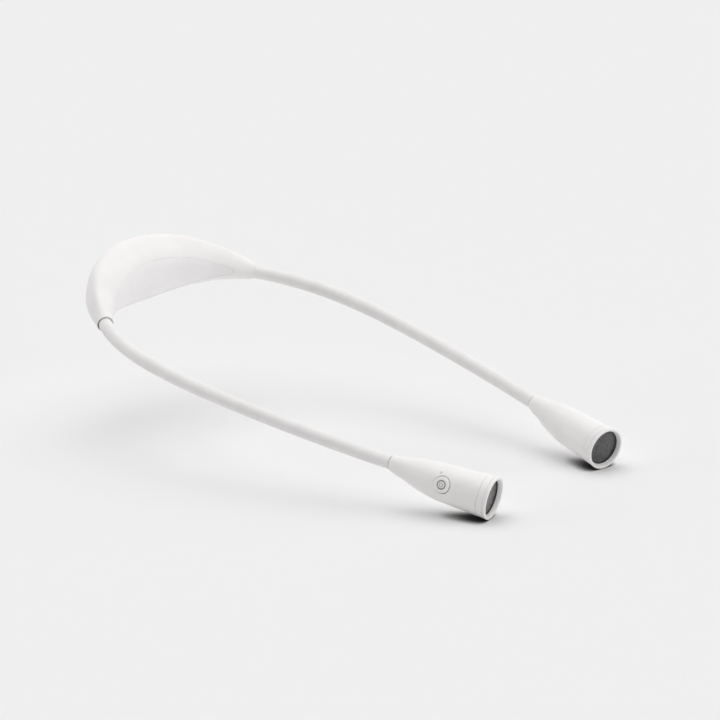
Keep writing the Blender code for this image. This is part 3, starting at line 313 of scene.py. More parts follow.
class HeadSizes(bpy.types.PropertyGroup):
    spread: angle("Spread", -13.1, "Turn of the axis outward")
    fall: angle("Fall", 11.8, "Tilt of the axis downward")
    shell_length: length("Shell length", 0.0587, "Neck to the rim's seam")
    neck_radius: length("Neck radius", 0.00415, "Radius at the arm")
    front_radius: length("Front radius", 0.01205, "Radius at the rim's seam")
    offset: length("Offset", 0.0019, "Axis below the arm's line")
    wall: length("Wall", 0.0014, "Wall of the shell")
    neck_bore: length("Neck bore", 0.0036, "Bore for the sleeve's end")
    neck_depth: length("Neck depth", 0.0050, "Depth of that bore")
    rim_length: length("Rim length", 0.0058, "Length of the rim ring")
    rim_radius: length("Rim radius", 0.0125, "Radius at the front")
    pocket_radius: length("Pocket radius", 0.0114, "Inside of the rim behind the lens")
    opening_radius: length("Opening radius", 0.0102, "Opening at the lens")
    # Painted shade: a black ring stands in for the rim's shadow on the lens's edge
    mouth_radius: length("Mouth radius", 0.0110, "Opening at the front of the rim")
    lens_shadow_ring: length("Lens edge", 0.0008, "Black line round the lens")
    lens_radius: length("Lens radius", 0.0111, "Radius of the lens")
    lens_thickness: length("Lens thickness", 0.0012, "Thickness of the lens")
    lip_length: length("Lip length", 0.0018, "Shell's lip inside the rim")
    lip_wall: length("Lip wall", 0.0006, "Wall of that lip")


class ButtonSizes(bpy.types.PropertyGroup):
    place: number("Place", 0.634, "Share of the shell's length")
    raise_angle: angle("Raise", 15, "Turn upward round the head")
    radius: length("Radius", 0.0047, "Radius of the button")
    hole_radius: length("Hole radius", 0.0050, "Radius of its hole")
    proud: length("Proud", 0.0008, "Height over the shell")
    ring_radius: length("Ring radius", 0.00235, "Ring line on its face")
    ring_width: length("Ring width", 0.00074, "Width of that line")
    ring_depth: length("Ring depth", 0.00055, "Depth of that line")
    mark_radius: length("Mark radius", 0.00112, "Radius of the power mark")
    mark_width: length("Mark width", 0.00030, "Width of its strokes")
    indicator_place: number("Indicator place", 0.577, "Share of the shell's length")
    indicator_raise: angle("Indicator raise", 51, "Turn upward round the head")
    indicator_radius: length("Indicator radius", 0.0007, "Radius of the indicator")


class Finishes(bpy.types.PropertyGroup):
    shell: colour("Shell", (0.905, 0.882, 0.877), "Plastic of housing and heads")
    cover: colour("Cover", (0.885, 0.865, 0.868), "Plastic of the neck cover")
    sleeve: colour("Sleeve", (0.865, 0.845, 0.840), "Silicone of the arms")
    lens: colour("Lens", (0.036, 0.036, 0.039), "Dark lens")
    mark: colour("Mark", (0.26, 0.26, 0.26), "Mark and ring on the button")
    steel: colour("Steel", (0.52, 0.52, 0.53), "Cores, socket and screws")
    aluminium: colour("Aluminium", (0.70, 0.70, 0.71), "Reflectors and LED boards")
    board: colour("Board", (0.015, 0.12, 0.05), "Solder mask of the boards")
    foil: colour("Foil", (0.55, 0.56, 0.57), "Foil of the battery cell")
    phosphor: colour("Phosphor", (0.82, 0.60, 0.10), "Phosphor of the LEDs")
    black: colour("Black", (0.020, 0.020, 0.020), "Black plastic and leads")
    pin: colour("Pin", (0.74, 0.77, 0.79), "Clear light pins")
    floor: colour("Floor", (0.90, 0.90, 0.90), "Floor")


class StageSizes(bpy.types.PropertyGroup):
    azimuth: angle("Azimuth", -51.91, "Camera azimuth")
    elevation: angle("Elevation", 16.01, "Camera elevation")
    roll: angle("Roll", -1.98, "Camera roll")
    distance: length("Distance", 2.640, "Camera to its target")
    target: FloatVectorProperty(
        name="Target", description="Middle of the picture", size=3,
        default=(-0.09742, -0.23041, 0.00966), subtype="TRANSLATION", unit="LENGTH", precision=5,
    )
    lens: number("Lens", 239.25, "Focal length in millimetres")
    floor_half: length("Floor half", 9.0, "Half of the floor's side")
    wide: number("Wide", 1.38, "Wide overhead light")
    narrow: number("Narrow", 0.26, "Narrow overhead light")
    back: number("Back", 0.70, "Light from behind")
    front: number("Front", 0.62, "Low light from the front")
    left: number("Left", 0.36, "Low light from the picture's left")
    right: number("Right", 0.56, "Low light from the picture's right")
    ambient: number("Ambient", 0.18, "Light from all round")
    # Painted shadow: the floor's colour darkens toward this share where the object comes within this reach
    # of it
    painted_shadow_reach: length("Contact reach", 0.0115, "Height of the shadow under the heads")
    painted_shadow_share: number("Contact shade", 0.06, "Share of the floor's colour in it")
    backdrop: number("Backdrop", 0.87, "Brightness of the background")


def sizes():
    return bpy.context.scene.reading_light


# Lines and frames


def direction(spread, drop):
    flat = cos(drop)
    return Vector((sin(spread) * flat, -cos(spread) * flat, -sin(drop)))


def between(low, high, share):
    return low + (high - low) * share


def row_of(table, at):
    keys = [row[0] for row in table]
    row = min(max(bisect_right(keys, at) - 1, 0), len(table) - 2)
    share = (at - keys[row]) / (keys[row + 1] - keys[row])
    return row, min(max(share, 0), 1)


def table_value(table, at, column):
    row, share = row_of(table, at)
    return between(table[row][column], table[row + 1][column], share)


def smooth_value(table, at, column):
    """A column of a table read along a smooth curve through its rows."""
    row, share = row_of(table, at)

    def slope(index):
        low, high = max(index - 1, 0), min(index + 1, len(table) - 1)
        return (table[high][column] - table[low][column]) / (table[high][0] - table[low][0])

    width = table[row + 1][0] - table[row][0]
    squared, cubed = share**2, share**3
    return (
        table[row][column] * (2 * cubed - 3 * squared + 1)
        + slope(row) * width * (cubed - 2 * squared + share)
        + table[row + 1][column] * (3 * squared - 2 * cubed)
        + slope(row + 1) * width * (cubed - squared)
    )


def on_side(vector, side):
    return Vector((vector.x * side, vector.y, vector.z))


class CentreLine:
    """The line through housing and arm on the left, mirrored for the right. Distance is 0 at the socket."""

    def __init__(self):
        housing, arm = sizes().housing, sizes().arm
        tilt = housing.tilt
        self.up = Vector((0, -sin(tilt), cos(tilt)))
        self.arm_length = arm.first_joint + arm.joint_spacing * (JOINT_COUNT - 1) + arm.tail
        middle = Vector((0, cos(tilt), sin(tilt))) * (housing.thickness / 2)
        end = middle + Vector((housing.half_span, -housing.depth, -housing.drop))
        first = ARM_DIRECTIONS[0]
        end_way = direction(radians(first[1]), radians(first[2]))
        near = middle + Vector((housing.middle_handle, 0, 0))
        far = end - end_way * housing.end_handle
        curve = []
        for step in range(CURVE_STEPS + 1):
            share = step / CURVE_STEPS
            rest = 1 - share
            curve.append(
                middle * rest**3
                + near * (3 * rest**2 * share)
                + far * (3 * rest * share**2)
                + end * share**3
            )
        trail = [(0.0, end)]
        for step in range(CURVE_STEPS, 0, -1):
            trail.append((trail[-1][0] - (curve[step] - curve[step - 1]).length, curve[step - 1]))
        trail.reverse()
        point = end
        for step in range(ARM_STEPS):
            share = (step + 0.5) / ARM_STEPS
            spread = radians(table_value(ARM_DIRECTIONS, share, 1))
            drop = radians(table_value(ARM_DIRECTIONS, share, 2))
            point = point + direction(spread, drop) * (self.arm_length / ARM_STEPS)
            trail.append((self.arm_length * (step + 1) / ARM_STEPS, point))
        self.trail = trail
        self.keys = [row[0] for row in trail]
        self.half = -self.keys[0]

    def left(self, at):
        if at <= self.keys[0]:
            return self.trail[0][1] + Vector((at - self.keys[0], 0, 0))
        if at >= self.keys[-1]:
            last = self.trail[-1][1]
            return last + (last - self.trail[-2][1]).normalized() * (at - self.keys[-1])
        row = min(bisect_right(self.keys, at) - 1, len(self.trail) - 2)
        low, high = self.trail[row], self.trail[row + 1]
        return low[1].lerp(high[1], (at - low[0]) / (high[0] - low[0]))

    def point(self, side, at):
        return on_side(self.left(at), side)

    def way(self, side, at):
        return on_side((self.left(at + WAY_STEP) - self.left(at - WAY_STEP)).normalized(), side)

    def arm_ring(self, side, at, radius, count):
        point, way = self.point(side, at), self.way(side, at)
        across = self.up.cross(way).normalized()
        return circle(point, across, way.cross(across), radius, count)

    def housing_frame(self, side, at):
        """Point, leftward, outward and up."""
        leftward = self.way(side, at) * side
        outward = self.up.cross(leftward).normalized()
        return self.point(side, at), leftward, outward, leftward.cross(outward)

    def share(self, at):
        return min(max(1 + at / self.half, 0), 1)

    def joint(self, index):
        arm = sizes().arm
        return arm.first_joint + arm.joint_spacing * index


def circle(centre, across, up, radius, count):
    turns = [FULL_TURN * step / count for step in range(count)]
    return [centre + across * (radius * cos(turn)) + up * (radius * sin(turn)) for turn in turns]


def pin_rings(centre, axes, path, count=PIN_SIDES):
    """Circles round the third axis. The path lists (height, radius)."""
    across, along, up = axes
    return [circle(centre + up * height, across, along, radius, count) for height, radius in path]


def slot_rings(centre, axes, rows):
    """Rounded rectangles. Each row: half width, half height, corner radius and levels on the third axis."""
    across, along, up = axes
    rings = []
    for wide, high, corner, levels in rows:
        outline = []
        for x, y, start in ((1, 1, 0), (-1, 1, 1), (-1, -1, 2), (1, -1, 3)):
            for step in range(SLOT_CORNER_POINTS):
                turn = (start + step / (SLOT_CORNER_POINTS - 1)) * QUARTER_TURN
                aside = x * (wide - corner) + corner * cos(turn)
                outline.append(across * aside + along * (y * (high - corner) + corner * sin(turn)))
        rings += [[centre + up * level + point for point in outline] for level in levels]
    return rings


def soften(path):
    """A closed path with each sharp corner rounded."""
    out = []
    for index, corner in enumerate(path):
        here = Vector(corner)
        back = Vector(path[index - 1]) - here
        ahead = Vector(path[(index + 1) % len(path)]) - here
        if back.angle(ahead, pi) > STRAIGHT_ANGLE:
            out.append(here)
            continue
        start = here + back.normalized() * min(EDGE_ROUND, back.length / 3)
        end = here + ahead.normalized() * min(EDGE_ROUND, ahead.length / 3)
        for share in (0, 0.5, 1):
            rest = 1 - share
            out.append(start * rest**2 + here * (2 * rest * share) + end * share**2)
    return out


# Meshes


def loft(rings, closed=False):
    """A skin over rings of points: one circle of edges, extruded from ring to ring."""
    work = bmesh.new()
    order = work.verts.layers.int.new("order")
    ring = bmesh.ops.create_circle(work, segments=len(rings[0]), radius=1)["verts"]
    for index, vert in enumerate(ring):
        vert[order] = index
        vert.co = rings[0][index]
    first = edges = work.edges[:]
    for points in rings[1:]:
        made = bmesh.ops.extrude_edge_only(work, edges=edges)["geom"]
        edges = [item for item in made if isinstance(item, bmesh.types.BMEdge)]
        for vert in made:
            if isinstance(vert, bmesh.types.BMVert):
                vert.co = points[vert[order]]
    if closed:
        bmesh.ops.bridge_loops(work, edges=first + edges)
    else:
        bmesh.ops.edgeloop_fill(work, edges=first)
        bmesh.ops.edgeloop_fill(work, edges=edges)
    work.verts.layers.int.remove(work.verts.layers.int["order"])
    return work


def piece(name, work, finish=None):
    """An object at the origin from a closed bmesh, its faces outward."""
    bmesh.ops.recalc_face_normals(work, faces=work.faces)
    mesh = bpy.data.meshes.new(name)
    work.to_mesh(mesh)
    work.free()
    mesh.shade_smooth()
    mesh.set_sharp_from_angle(angle=SHARP_ANGLE)
    if finish:
        mesh.materials.append(MATERIALS[finish])
    made = bpy.data.objects.new(name, mesh)
    bpy.context.scene.collection.objects.link(made)
    return made


def carve(target, shapes):
    """Takes closed shapes, each with a name, out of a piece."""
    tools = [piece(name, work) for name, work in shapes]
    for tool in tools:
        step = target.modifiers.new(tool.name, "BOOLEAN")
        step.operation = "DIFFERENCE"
        step.solver = "EXACT"
        step.object = tool
    graph = bpy.context.evaluated_depsgraph_get()
    mesh = bpy.data.meshes.new_from_object(target.evaluated_get(graph), depsgraph=graph)
    target.modifiers.clear()
    plain = target.data
    target.data = mesh
    bpy.data.meshes.remove(plain)
    mesh.name = target.name
    for tool in tools:
        mesh = tool.data
        bpy.data.objects.remove(tool)
        bpy.data.meshes.remove(mesh)
    target.data.shade_smooth()
    target.data.set_sharp_from_angle(angle=SHARP_ANGLE)


# Materials


def add_node(tree, kind, inputs, **settings):
    """A shader node. An input that is a socket is linked, any other is set."""
    made = tree.nodes.new(kind)
    for name, value in settings.items():
        setattr(made, name, value)
    for name, value in inputs.items():
        if isinstance(value, bpy.types.NodeSocket):
            tree.links.new(value, made.inputs[name])
        else:
            made.inputs[name].default_value = value
    return made


class Shade:
    """A Principled material and its nodes. A noise is its scale, detail, roughness and stretch."""

    def __init__(self, name, base, rough, metallic=0.0):
        self.material = bpy.data.materials.new(name)
        self.material.use_nodes = True
        self.tree = self.material.node_tree
        self.shader = self.tree.nodes["Principled BSDF"]
        self.base = (*base, 1.0)
        self.set("Base Color", self.base)
        self.set("Roughness", rough)
        self.set("Metallic", metallic)
        self.place = self.node("ShaderNodeTexCoord", {}).outputs["Object"]
        self.noises = {}

    def set(self, socket, value):
        self.shader.inputs[socket].default_value = value

    def node(self, kind, inputs, **settings):
        return add_node(self.tree, kind, inputs, **settings)

    def noise(self, scale, detail=2.0, rough=0.5, stretch=None):
        key = (scale, detail, rough, stretch)
        if key not in self.noises:
            place = self.place
            if stretch:
                mapping = self.node("ShaderNodeMapping", {"Scale": stretch, "Vector": place})
                place = mapping.outputs["Vector"]
            inputs = {"Scale": scale, "Detail": detail, "Roughness": rough, "Vector": place}
            self.noises[key] = self.node("ShaderNodeTexNoise", inputs).outputs["Fac"]
        return self.noises[key]

    def cells(self, scale, feature="F1", randomness=1.0):
        inputs = {"Scale": scale, "Randomness": randomness, "Vector": self.place}
        return self.node("ShaderNodeTexVoronoi", inputs, feature=feature).outputs["Distance"]

    def ranged(self, value, low, high, start=0.35, end=0.65):
        inputs = {"From Min": start, "From Max": end, "To Min": low, "To Max": high, "Value": value}
        return self.node("ShaderNodeMapRange", inputs).outputs["Result"]

    def vary_colour(self, value, second, low=0.0, high=1.0, start=0.35, end=0.65):
        target = self.shader.inputs["Base Color"]
        first = target.links[0].from_socket if target.is_linked else self.base
        inputs = {"Factor": self.ranged(value, low, high, start, end), "A": first, "B": (*second, 1.0)}
        mix = self.node("ShaderNodeMix", inputs, data_type="RGBA")
        self.tree.links.new(mix.outputs["Result"], target)

    def vary_rough(self, value, low, high):
        self.tree.links.new(self.ranged(value, low, high), self.shader.inputs["Roughness"])

    def bump(self, value, strength, distance):
        target = self.shader.inputs["Normal"]
        inputs = {"Strength": strength, "Distance": distance, "Height": value}
        if target.is_linked:
            inputs["Normal"] = target.links[0].from_socket
        self.tree.links.new(self.node("ShaderNodeBump", inputs).outputs["Normal"], target)


def toned(base, factor):
    return tuple(part * factor for part in base)


def grainy(name, base, rough, tone, mottle, gloss, spread, bumps, metallic=0.0, extra=()):
    """Noise varies colour toward a tone of the base, roughness within a spread, and height."""
    shade = Shade(name, base, rough, metallic)
    for socket, value in extra:
        shade.set(socket, value)
    shade.vary_colour(shade.noise(*mottle), toned(base, tone))
    shade.vary_rough(shade.noise(*gloss), rough + spread[0], rough + spread[1])
    for noise, strength, distance in bumps:
        shade.bump(shade.noise(*noise), strength, distance)
    return shade.material


def moulded_plastic(name, base, rough, grain):
    """Matt moulded plastic: fine spark grain, faint mottling, soft differences in gloss."""
    bumps = (((150.0, 1.0), 0.10, 0.00004), ((3600.0, 2.0, 0.6), grain, 0.00002))
    return grainy(name, base, rough, 0.965, (55.0, 3.0), (240.0,), (-0.05, 0.06), bumps)


def silicone(name, base):
    """Soft silicone sleeve: satin skin with a faint bloom and fine pores."""
    bumps = (((220.0,), 0.12, 0.00005), ((5200.0, 2.0, 0.6), 0.25, 0.00002))
    sheen = (("Sheen Weight", 0.08), ("Sheen Roughness", 0.5))
    return grainy(name, base, 0.52, 0.955, (90.0, 4.0), (420.0, 3.0), (-0.06, 0.08), bumps, extra=sheen)


def lens_glass(name, base):
    """Dark glossy lens over a fine pebbled back."""
    shade = Shade(name, base, 0.34)
    shade.set("Coat Weight", 0.35)
    shade.set("Coat Roughness", 0.06)
    pebbles = shade.cells(1500.0)
    shade.vary_colour(pebbles, toned(base, 3.2), 0.0, 0.75, 0.15, 0.75)
    shade.vary_colour(shade.noise(420.0, 3.0, 0.6), toned(base, 0.45), 0.0, 0.8)
    shade.vary_rough(shade.noise(900.0), 0.24, 0.46)
    shade.bump(pebbles, 0.35, 0.00006)
    return shade.material


def brushed_metal(name, base, rough, stretch):
    streaks = (900.0, 4.0, 0.6, stretch)
    return grainy(name, base, rough, 0.78, streaks, streaks, (-0.07, 0.12), ((streaks, 0.20, 0.00002),), 1.0)


def circuit_board(name, base):
    """Solder mask with copper runs showing through and small pads."""
    shade = Shade(name, base, 0.38)
    runs = shade.cells(620.0, "DISTANCE_TO_EDGE", 0.35)
    shade.vary_colour(runs, toned(base, 2.2), 1.0, 0.0, 0.02, 0.10)
    shade.vary_colour(shade.cells(420.0, "F1", 0.2), (0.62, 0.45, 0.20), 1.0, 0.0, 0.10, 0.16)
    shade.vary_rough(shade.noise(700.0), 0.30, 0.46)
    shade.bump(runs, 0.25, 0.00004)
    return shade.material


def cell_foil(name, base):
    creases = (190.0, 5.0, 0.65)
    return grainy(name, base, 0.36, 0.82, creases, creases, (-0.08, 0.14), ((creases, 0.45, 0.00012),), 0.8)


def soft_black(name, base, rough):
    bumps = (((2600.0,), 0.2, 0.00002),)
    return grainy(name, base, rough, 1.9, (260.0, 3.0), (520.0,), (-0.08, 0.08), bumps)


def led_phosphor(name, base):
    shade = Shade(name, base, 0.45)
    grains = shade.cells(3800.0)
    shade.vary_colour(grains, toned(base, 0.72), 0.0, 0.8, 0.1, 0.8)
    shade.set("Coat Weight", 0.6)
    shade.bump(grains, 0.2, 0.00002)
    return shade.material


def clear_pin(name, base):
    """Frosted light pin."""
    bumps, coat = (((3200.0,), 0.15, 0.00002),), (("Coat Weight", 0.4),)
    return grainy(name, base, 0.22, 0.86, (1400.0,), (1900.0,), (-0.07, 0.10), bumps, extra=coat)


def printed_mark(name, base):
    bumps = (((5200.0,), 0.2, 0.00001),)
    return grainy(name, base, 0.50, 0.80, (2600.0, 3.0), (3000.0,), (-0.08, 0.08), bumps)


MATERIALS = {}


def make_materials():
    look = sizes().finishes
    for name, make, *values in (
        ("white_plastic", moulded_plastic, look.shell, 0.40, 0.30),
        ("cover_plastic", moulded_plastic, look.cover, 0.50, 0.45),
        ("white_silicone", silicone, look.sleeve),
        ("dark_lens", lens_glass, look.lens),
        ("steel", brushed_metal, look.steel, 0.32, (1.0, 0.12, 1.0)),
        ("reflector_metal", brushed_metal, look.aluminium, 0.22, (1.0, 0.2, 1.0)),
        ("board_green", circuit_board, look.board),
        ("cell_foil", cell_foil, look.foil),
        ("lead_black", soft_black, look.black, 0.55),
        ("switch_black", soft_black, look.black, 0.45),
        ("led_yellow", led_phosphor, look.phosphor),
        ("clear_pin", clear_pin, look.pin),
        ("mark_grey", printed_mark, look.mark),
    ):
        MATERIALS[name] = make(name, *values)


# Housing


def fall_to_end(share):
    """1 at the middle of the housing, 0 at its ends."""
    return max(cos(QUARTER_TURN * share), 0)


def side_height(share):
    """Height of the section without its crest."""
    housing = sizes().housing
    return between(housing.end_diameter, housing.height, fall_to_end(share) ** HEIGHT_FALL)


def section(share, walls=(0, 0)):
    """Outward and upward offset of the skin, or of the cavity inside its walls, for an angle round it."""
    housing, fall = sizes().housing, fall_to_end(share)
    powers = [between(ROUND_POWER, power, fall**HEIGHT_FALL) for power in (INNER_POWER, OUTER_POWER)]
    thickness = between(housing.end_diameter, housing.thickness, fall**THICKNESS_FALL)
    tall = side_height(share) / 2 - walls[1]
    crest = housing.crest * fall**CREST_FALL / 2

    def offset(turn):
        cosine, sine = cos(turn), sin(turn)
        rear = cosine >= 0
        power = powers[rear]
        reach = (abs(cosine) ** power + abs(sine) ** power) ** (-1 / power)
        rise = crest * max(sine, 0) * (1 + cosine)
        return (thickness / 2 - walls[rear]) * reach * cosine, tall * reach * sine + rise

    return offset


def section_ring(line, side, at, walls, count, scale=1.0):
    point, _, outward, up = line.housing_frame(side, at)
    offset = section(line.share(at), walls)
    ring = []
    for step in range(count):
        out, rise = offset(FULL_TURN * step / count)
        ring.append(point + outward * (out * scale) + up * (rise * scale))
    return ring


def both_sides(line, end_share, count, pointed=False):
    """(side, distance) from the right end to the left, the middle once, closer together at pointed ends."""
    reach = line.half * end_share
    if pointed:
        steps = [reach * sin(QUARTER_TURN * step / count) for step in range(1, count + 1)]
    else:
        steps = [reach * step / count for step in range(1, count + 1)]
    right = [(-1, step - line.half) for step in reversed(steps)]
    return right + [(1, -line.half)] + [(1, step - line.half) for step in steps]


def inner_face(offset, level):
    """How far a section's inner face lies from the centre line at a height on it."""
    below, above = 3 * QUARTER_TURN, QUARTER_TURN
    for _ in range(HALVINGS):
        middle = (below + above) / 2
        if offset(middle)[1] < level:
            below = middle
        else:
            above = middle
    return -offset(below)[0]


def cover_edges(share):
    """Heights of the leaf-shaped cover's lower and upper edge, closing toward its two ends."""
    housing = sizes().housing
    taper = side_height(share) * sqrt(max(1 - (share / (housing.cover_end + COVER_POINT)) ** 2, 0))
    return -housing.cover_foot * taper, housing.cover_top * taper


def plate(line, end_grow, count, edge, points=LEAF_POINTS):
    """A leaf-shaped plate on the inner face. The edge lists (growth, depth) from its face to its back."""
    rings = []
    end_share = sizes().housing.cover_end + end_grow / line.half
    shares = [step / (points - 1) for step in range(points)]
    (face_grow, face), *middle, (back_grow, back) = edge
    for side, at in both_sides(line, end_share, count, pointed=True):
        point, _, outward, up = line.housing_frame(side, at)
        low, high = cover_edges(line.share(at))
        offset = section(line.share(at))
        spots = [(between(low - face_grow, high + face_grow, share), face) for share in shares]
        spots += [(high + grow, depth) for grow, depth in middle]
        spots += [(between(high + back_grow, low - back_grow, share), back) for share in shares]
        spots += [(low - grow, depth) for grow, depth in middle[::-1]]
        rings.append(
            [point - outward * (inner_face(offset, level) - depth) + up * level for level, depth in spots]
        )
    return loft(rings)


class READINGLIGHT_OT_housing(bpy.types.Operator):
    """Rear shell and neck cover of the housing"""

    bl_idname = "readinglight.housing"
    bl_label = "Housing"

    def execute(self, context):
        housing, line = sizes().housing, CentreLine()
        none, walls = (0, 0), (housing.inner_wall, housing.outer_wall)
        stops = both_sides(line, 1 - END_ROUND / line.half, HOUSING_RINGS)
        rings = [section_ring(line, side, at, none, HOUSING_SIDES) for side, at in stops]
        for at, scale in END_STEPS:
            rings.insert(0, section_ring(line, -1, at, none, HOUSING_SIDES, scale))
            rings.append(section_ring(line, 1, at, none, HOUSING_SIDES, scale))
        shell = piece("housing_shell", loft(rings), "white_plastic")
        stops = both_sides(line, CAVITY_END, CAVITY_RINGS)
        cavity = loft([section_ring(line, side, at, walls, CAVITY_SIDES) for side, at in stops])
        seat = plate(line, GAP, SEAT_RINGS, (*SEAT_EDGE, (GAP, housing.cover_thickness + GAP)))
        edge = ((OPENING_GROW, OPENING_FACE), (OPENING_GROW, housing.inner_wall + OPENING_BACK))
        opening = plate(line, OPENING_END, OPENING_RINGS, edge, OPENING_POINTS)
        tools = [("cavity", cavity), ("cover_seat", seat), ("cover_opening", opening)]
        for name, side in SIDES:
            outward = line.housing_frame(side, 0)[2]
            rings = []
            for at, flare, shift in ((-housing.bore_depth - BORE_RUN, 0, 0), *BORE_STEPS):
                radius = housing.bore_radius + housing.mouth_flare * flare
                aside = outward * (housing.mouth_shift * shift)
                rings.append([point + aside for point in line.arm_ring(side, at, radius, BORE_SIDES)])
            tools.append(("bore_" + name, loft(rings)))
        centre, axes = socket_centre(line)
        tools.append(("socket_hole", loft(slot_rings(centre, axes, SOCKET_HOLE))))
        tools.append(("light_hole", loft(pin_rings(*light_foot(line), LIGHT_HOLE))))
        carve(shell, tools)
        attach(shell, "neck_housing")
        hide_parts("rear_shell")
        near = GAP - COVER_SEAM
        edge = [(near - inward, depth) for inward, depth in COVER_EDGE]
        edge += [(0.0, COVER_STEP), (0.0, housing.cover_thickness)]
        cover = piece("neck_cover_panel", plate(line, 0, COVER_RINGS, edge), "cover_plastic")
        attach(cover, "neck_housing")
        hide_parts("neck_cover")
        return {"FINISHED"}


def under_housing(line, share, outward_shift):
    """A point on the lowest line of the housing's left half, and its axes."""
    point, leftward, outward, up = line.housing_frame(1, -line.half * (1 - share))
    low = -section(share)(-QUARTER_TURN)[1]
    return point + outward * outward_shift - up * low, (leftward, outward, up)


def socket_centre(line):
    return under_housing(line, SOCKET_SHARE, SOCKET_SHIFT)


def light_foot(line):
    return under_housing(line, LIGHT_SHARE, 0)


class READINGLIGHT_OT_charging(bpy.types.Operator):
    """Charging socket and charge light under the left half of the housing"""

    bl_idname = "readinglight.charging"
    bl_label = "Charging socket"

    def execute(self, context):
        line = CentreLine()
        centre, axes = socket_centre(line)
        base = centre + axes[2] * SOCKET_LIFT
        can = piece("charging_socket_can", loft(slot_rings(base, axes, SOCKET_CAN)), "steel")
        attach(can, "neck_housing")
        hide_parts("charging_socket")
        rings = slot_rings(base, axes, SOCKET_TONGUE)
        tongue = piece("charging_socket_tongue", loft(rings), "switch_black")
        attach(tongue, "neck_housing")
        rings = pin_rings(*light_foot(line), LIGHT_PIN)
        pin = piece("charge_light_pin", loft(rings), "clear_pin")
        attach(pin, "neck_housing")
        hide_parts("charge_light")
        return {"FINISHED"}


# Arms


def spaced(start, end, step):
    count = max(ceil((end - start) / step), 1)
    return [start + (end - start) * index / count for index in range(count + 1)]


class READINGLIGHT_OT_sleeves(bpy.types.Operator):
    """Silicone sleeves, each from the middle of one link to the middle of the next, over one joint"""

    bl_idname = "readinglight.sleeves"
    bl_label = "Arm sleeves"

    def execute(self, context):
        arm, line = sizes().arm, CentreLine()
        for name, side in SIDES:
            bodies = ["neck_housing"] + [f"{name}_link_{index}" for index in range(1, JOINT_COUNT)]
            bodies.append(name + "_head")
            nodes = ["sleeve_root_" + name]
            nodes += [f"sleeve_{name}_{index}" for index in range(1, JOINT_COUNT)]
            for index in range(JOINT_COUNT):
                joint = line.joint(index)
                path = self.outline(arm, line, index)
                rings = [line.arm_ring(side, at, radius, SLEEVE_SIDES) for at, radius in path]
                label = f"sleeve_cover_{name}_{index + 1}"
                sleeve = piece(label, loft(rings, True), "white_silicone")
                reach = min(arm.bend_reach, joint - SOCKET_CLEAR, line.arm_length - arm.groove_width - joint)
                line.point(side, joint - reach)
                line.point(side, joint + reach)
                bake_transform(sleeve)
                shown = [nodes[index]]
                if index == JOINT_COUNT - 1:
                    shown.append("sleeve_tail_" + name)
                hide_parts(*shown)
        return {"FINISHED"}

    def outline(self, arm, line, index):
        """Closed path of one sleeve: its skin, then its bore."""
        half = arm.joint_spacing / 2
        start, end = line.joint(index) - half, line.joint(index) + half
        if index == 0:
            high, low = ROOT_BORE_STEP
            bore = [(end, arm.bore), (high, arm.bore), (low, arm.end_bore), (-arm.root_depth, arm.end_bore)]
            skin = spaced(-arm.root_depth, end, SLEEVE_STEP)
            return [(at, arm.radius) for at in skin] + self.fill(bore)
        if index < JOINT_COUNT - 1:
            skin = spaced(start, end, SLEEVE_STEP)
            return [(at, arm.radius) for at in skin] + self.fill([(end, arm.bore), (start, arm.bore)])
        neck = line.arm_length + arm.seam_shift - arm.groove_width
        spigot = line.arm_length + arm.spigot
        skin = [(at, arm.radius) for at in spaced(start, neck - SEAM_RUN, SLEEVE_STEP)]
        skin += [(neck + at, arm.radius - inward) for at, inward in SEAM_EDGE]
        skin += [(neck + at, arm.groove_radius + outward) for at, outward in SEAM_FOOT]
        skin += [(neck + arm.groove_width, arm.groove_radius), (spigot, arm.groove_radius)]
        low, high = HEAD_BORE_STEP
        bore = [(spigot, arm.end_bore), (neck - low, arm.end_bore), (neck - high, arm.bore)]
        return skin + self.fill(bore + [(start, arm.bore)])

    def fill(self, path):
        """The bore's path with more rings along it."""
        out = []
        for low, high in zip(path, path[1:]):
            count = max(ceil(abs(high[0] - low[0]) / SLEEVE_BORE_STEP), 1)
            for step in range(count):
                share = step / count
                out.append((between(low[0], high[0], share), between(low[1], high[1], share)))
        return out + [path[-1]]


# Heads


class HeadFrame:
    """A head's directions: along its axis, outward to its side, and up."""

    def __init__(self, line, side):
        head = sizes().head
        self.way = on_side(direction(head.spread, head.fall), side)
        self.start = line.point(side, line.arm_length)
        self.outward = Vector((-self.way.y * side, self.way.x * side, 0)).normalized()
        self.up = self.way.cross(self.outward) * side
        growth = head.front_radius - head.neck_radius
        self.profile = [
            (head.shell_length * along, head.neck_radius + growth * grown, head.offset * drop)
            for along, grown, drop in HEAD_SHAPE
        ]

    def spot(self, along, offset):
        return self.start + self.way * along - self.up * offset

    def ring(self, along, radius, offset, count=SHELL_SIDES):
        return circle(self.spot(along, offset), self.outward, self.up, radius, count)

    def lathe(self, name, path, finish, closed):
        offset = sizes().head.offset
        rings = [self.ring(along, radius, offset, RIM_SIDES) for along, radius in path]
        return piece(name, loft(rings, closed), finish)

    def side_way(self, turn):
        return self.outward * cos(turn) + self.up * sin(turn)


def lamps():
    """Name and frame of each head."""
    line = CentreLine()
    return [(name, HeadFrame(line, side)) for name, side in SIDES]


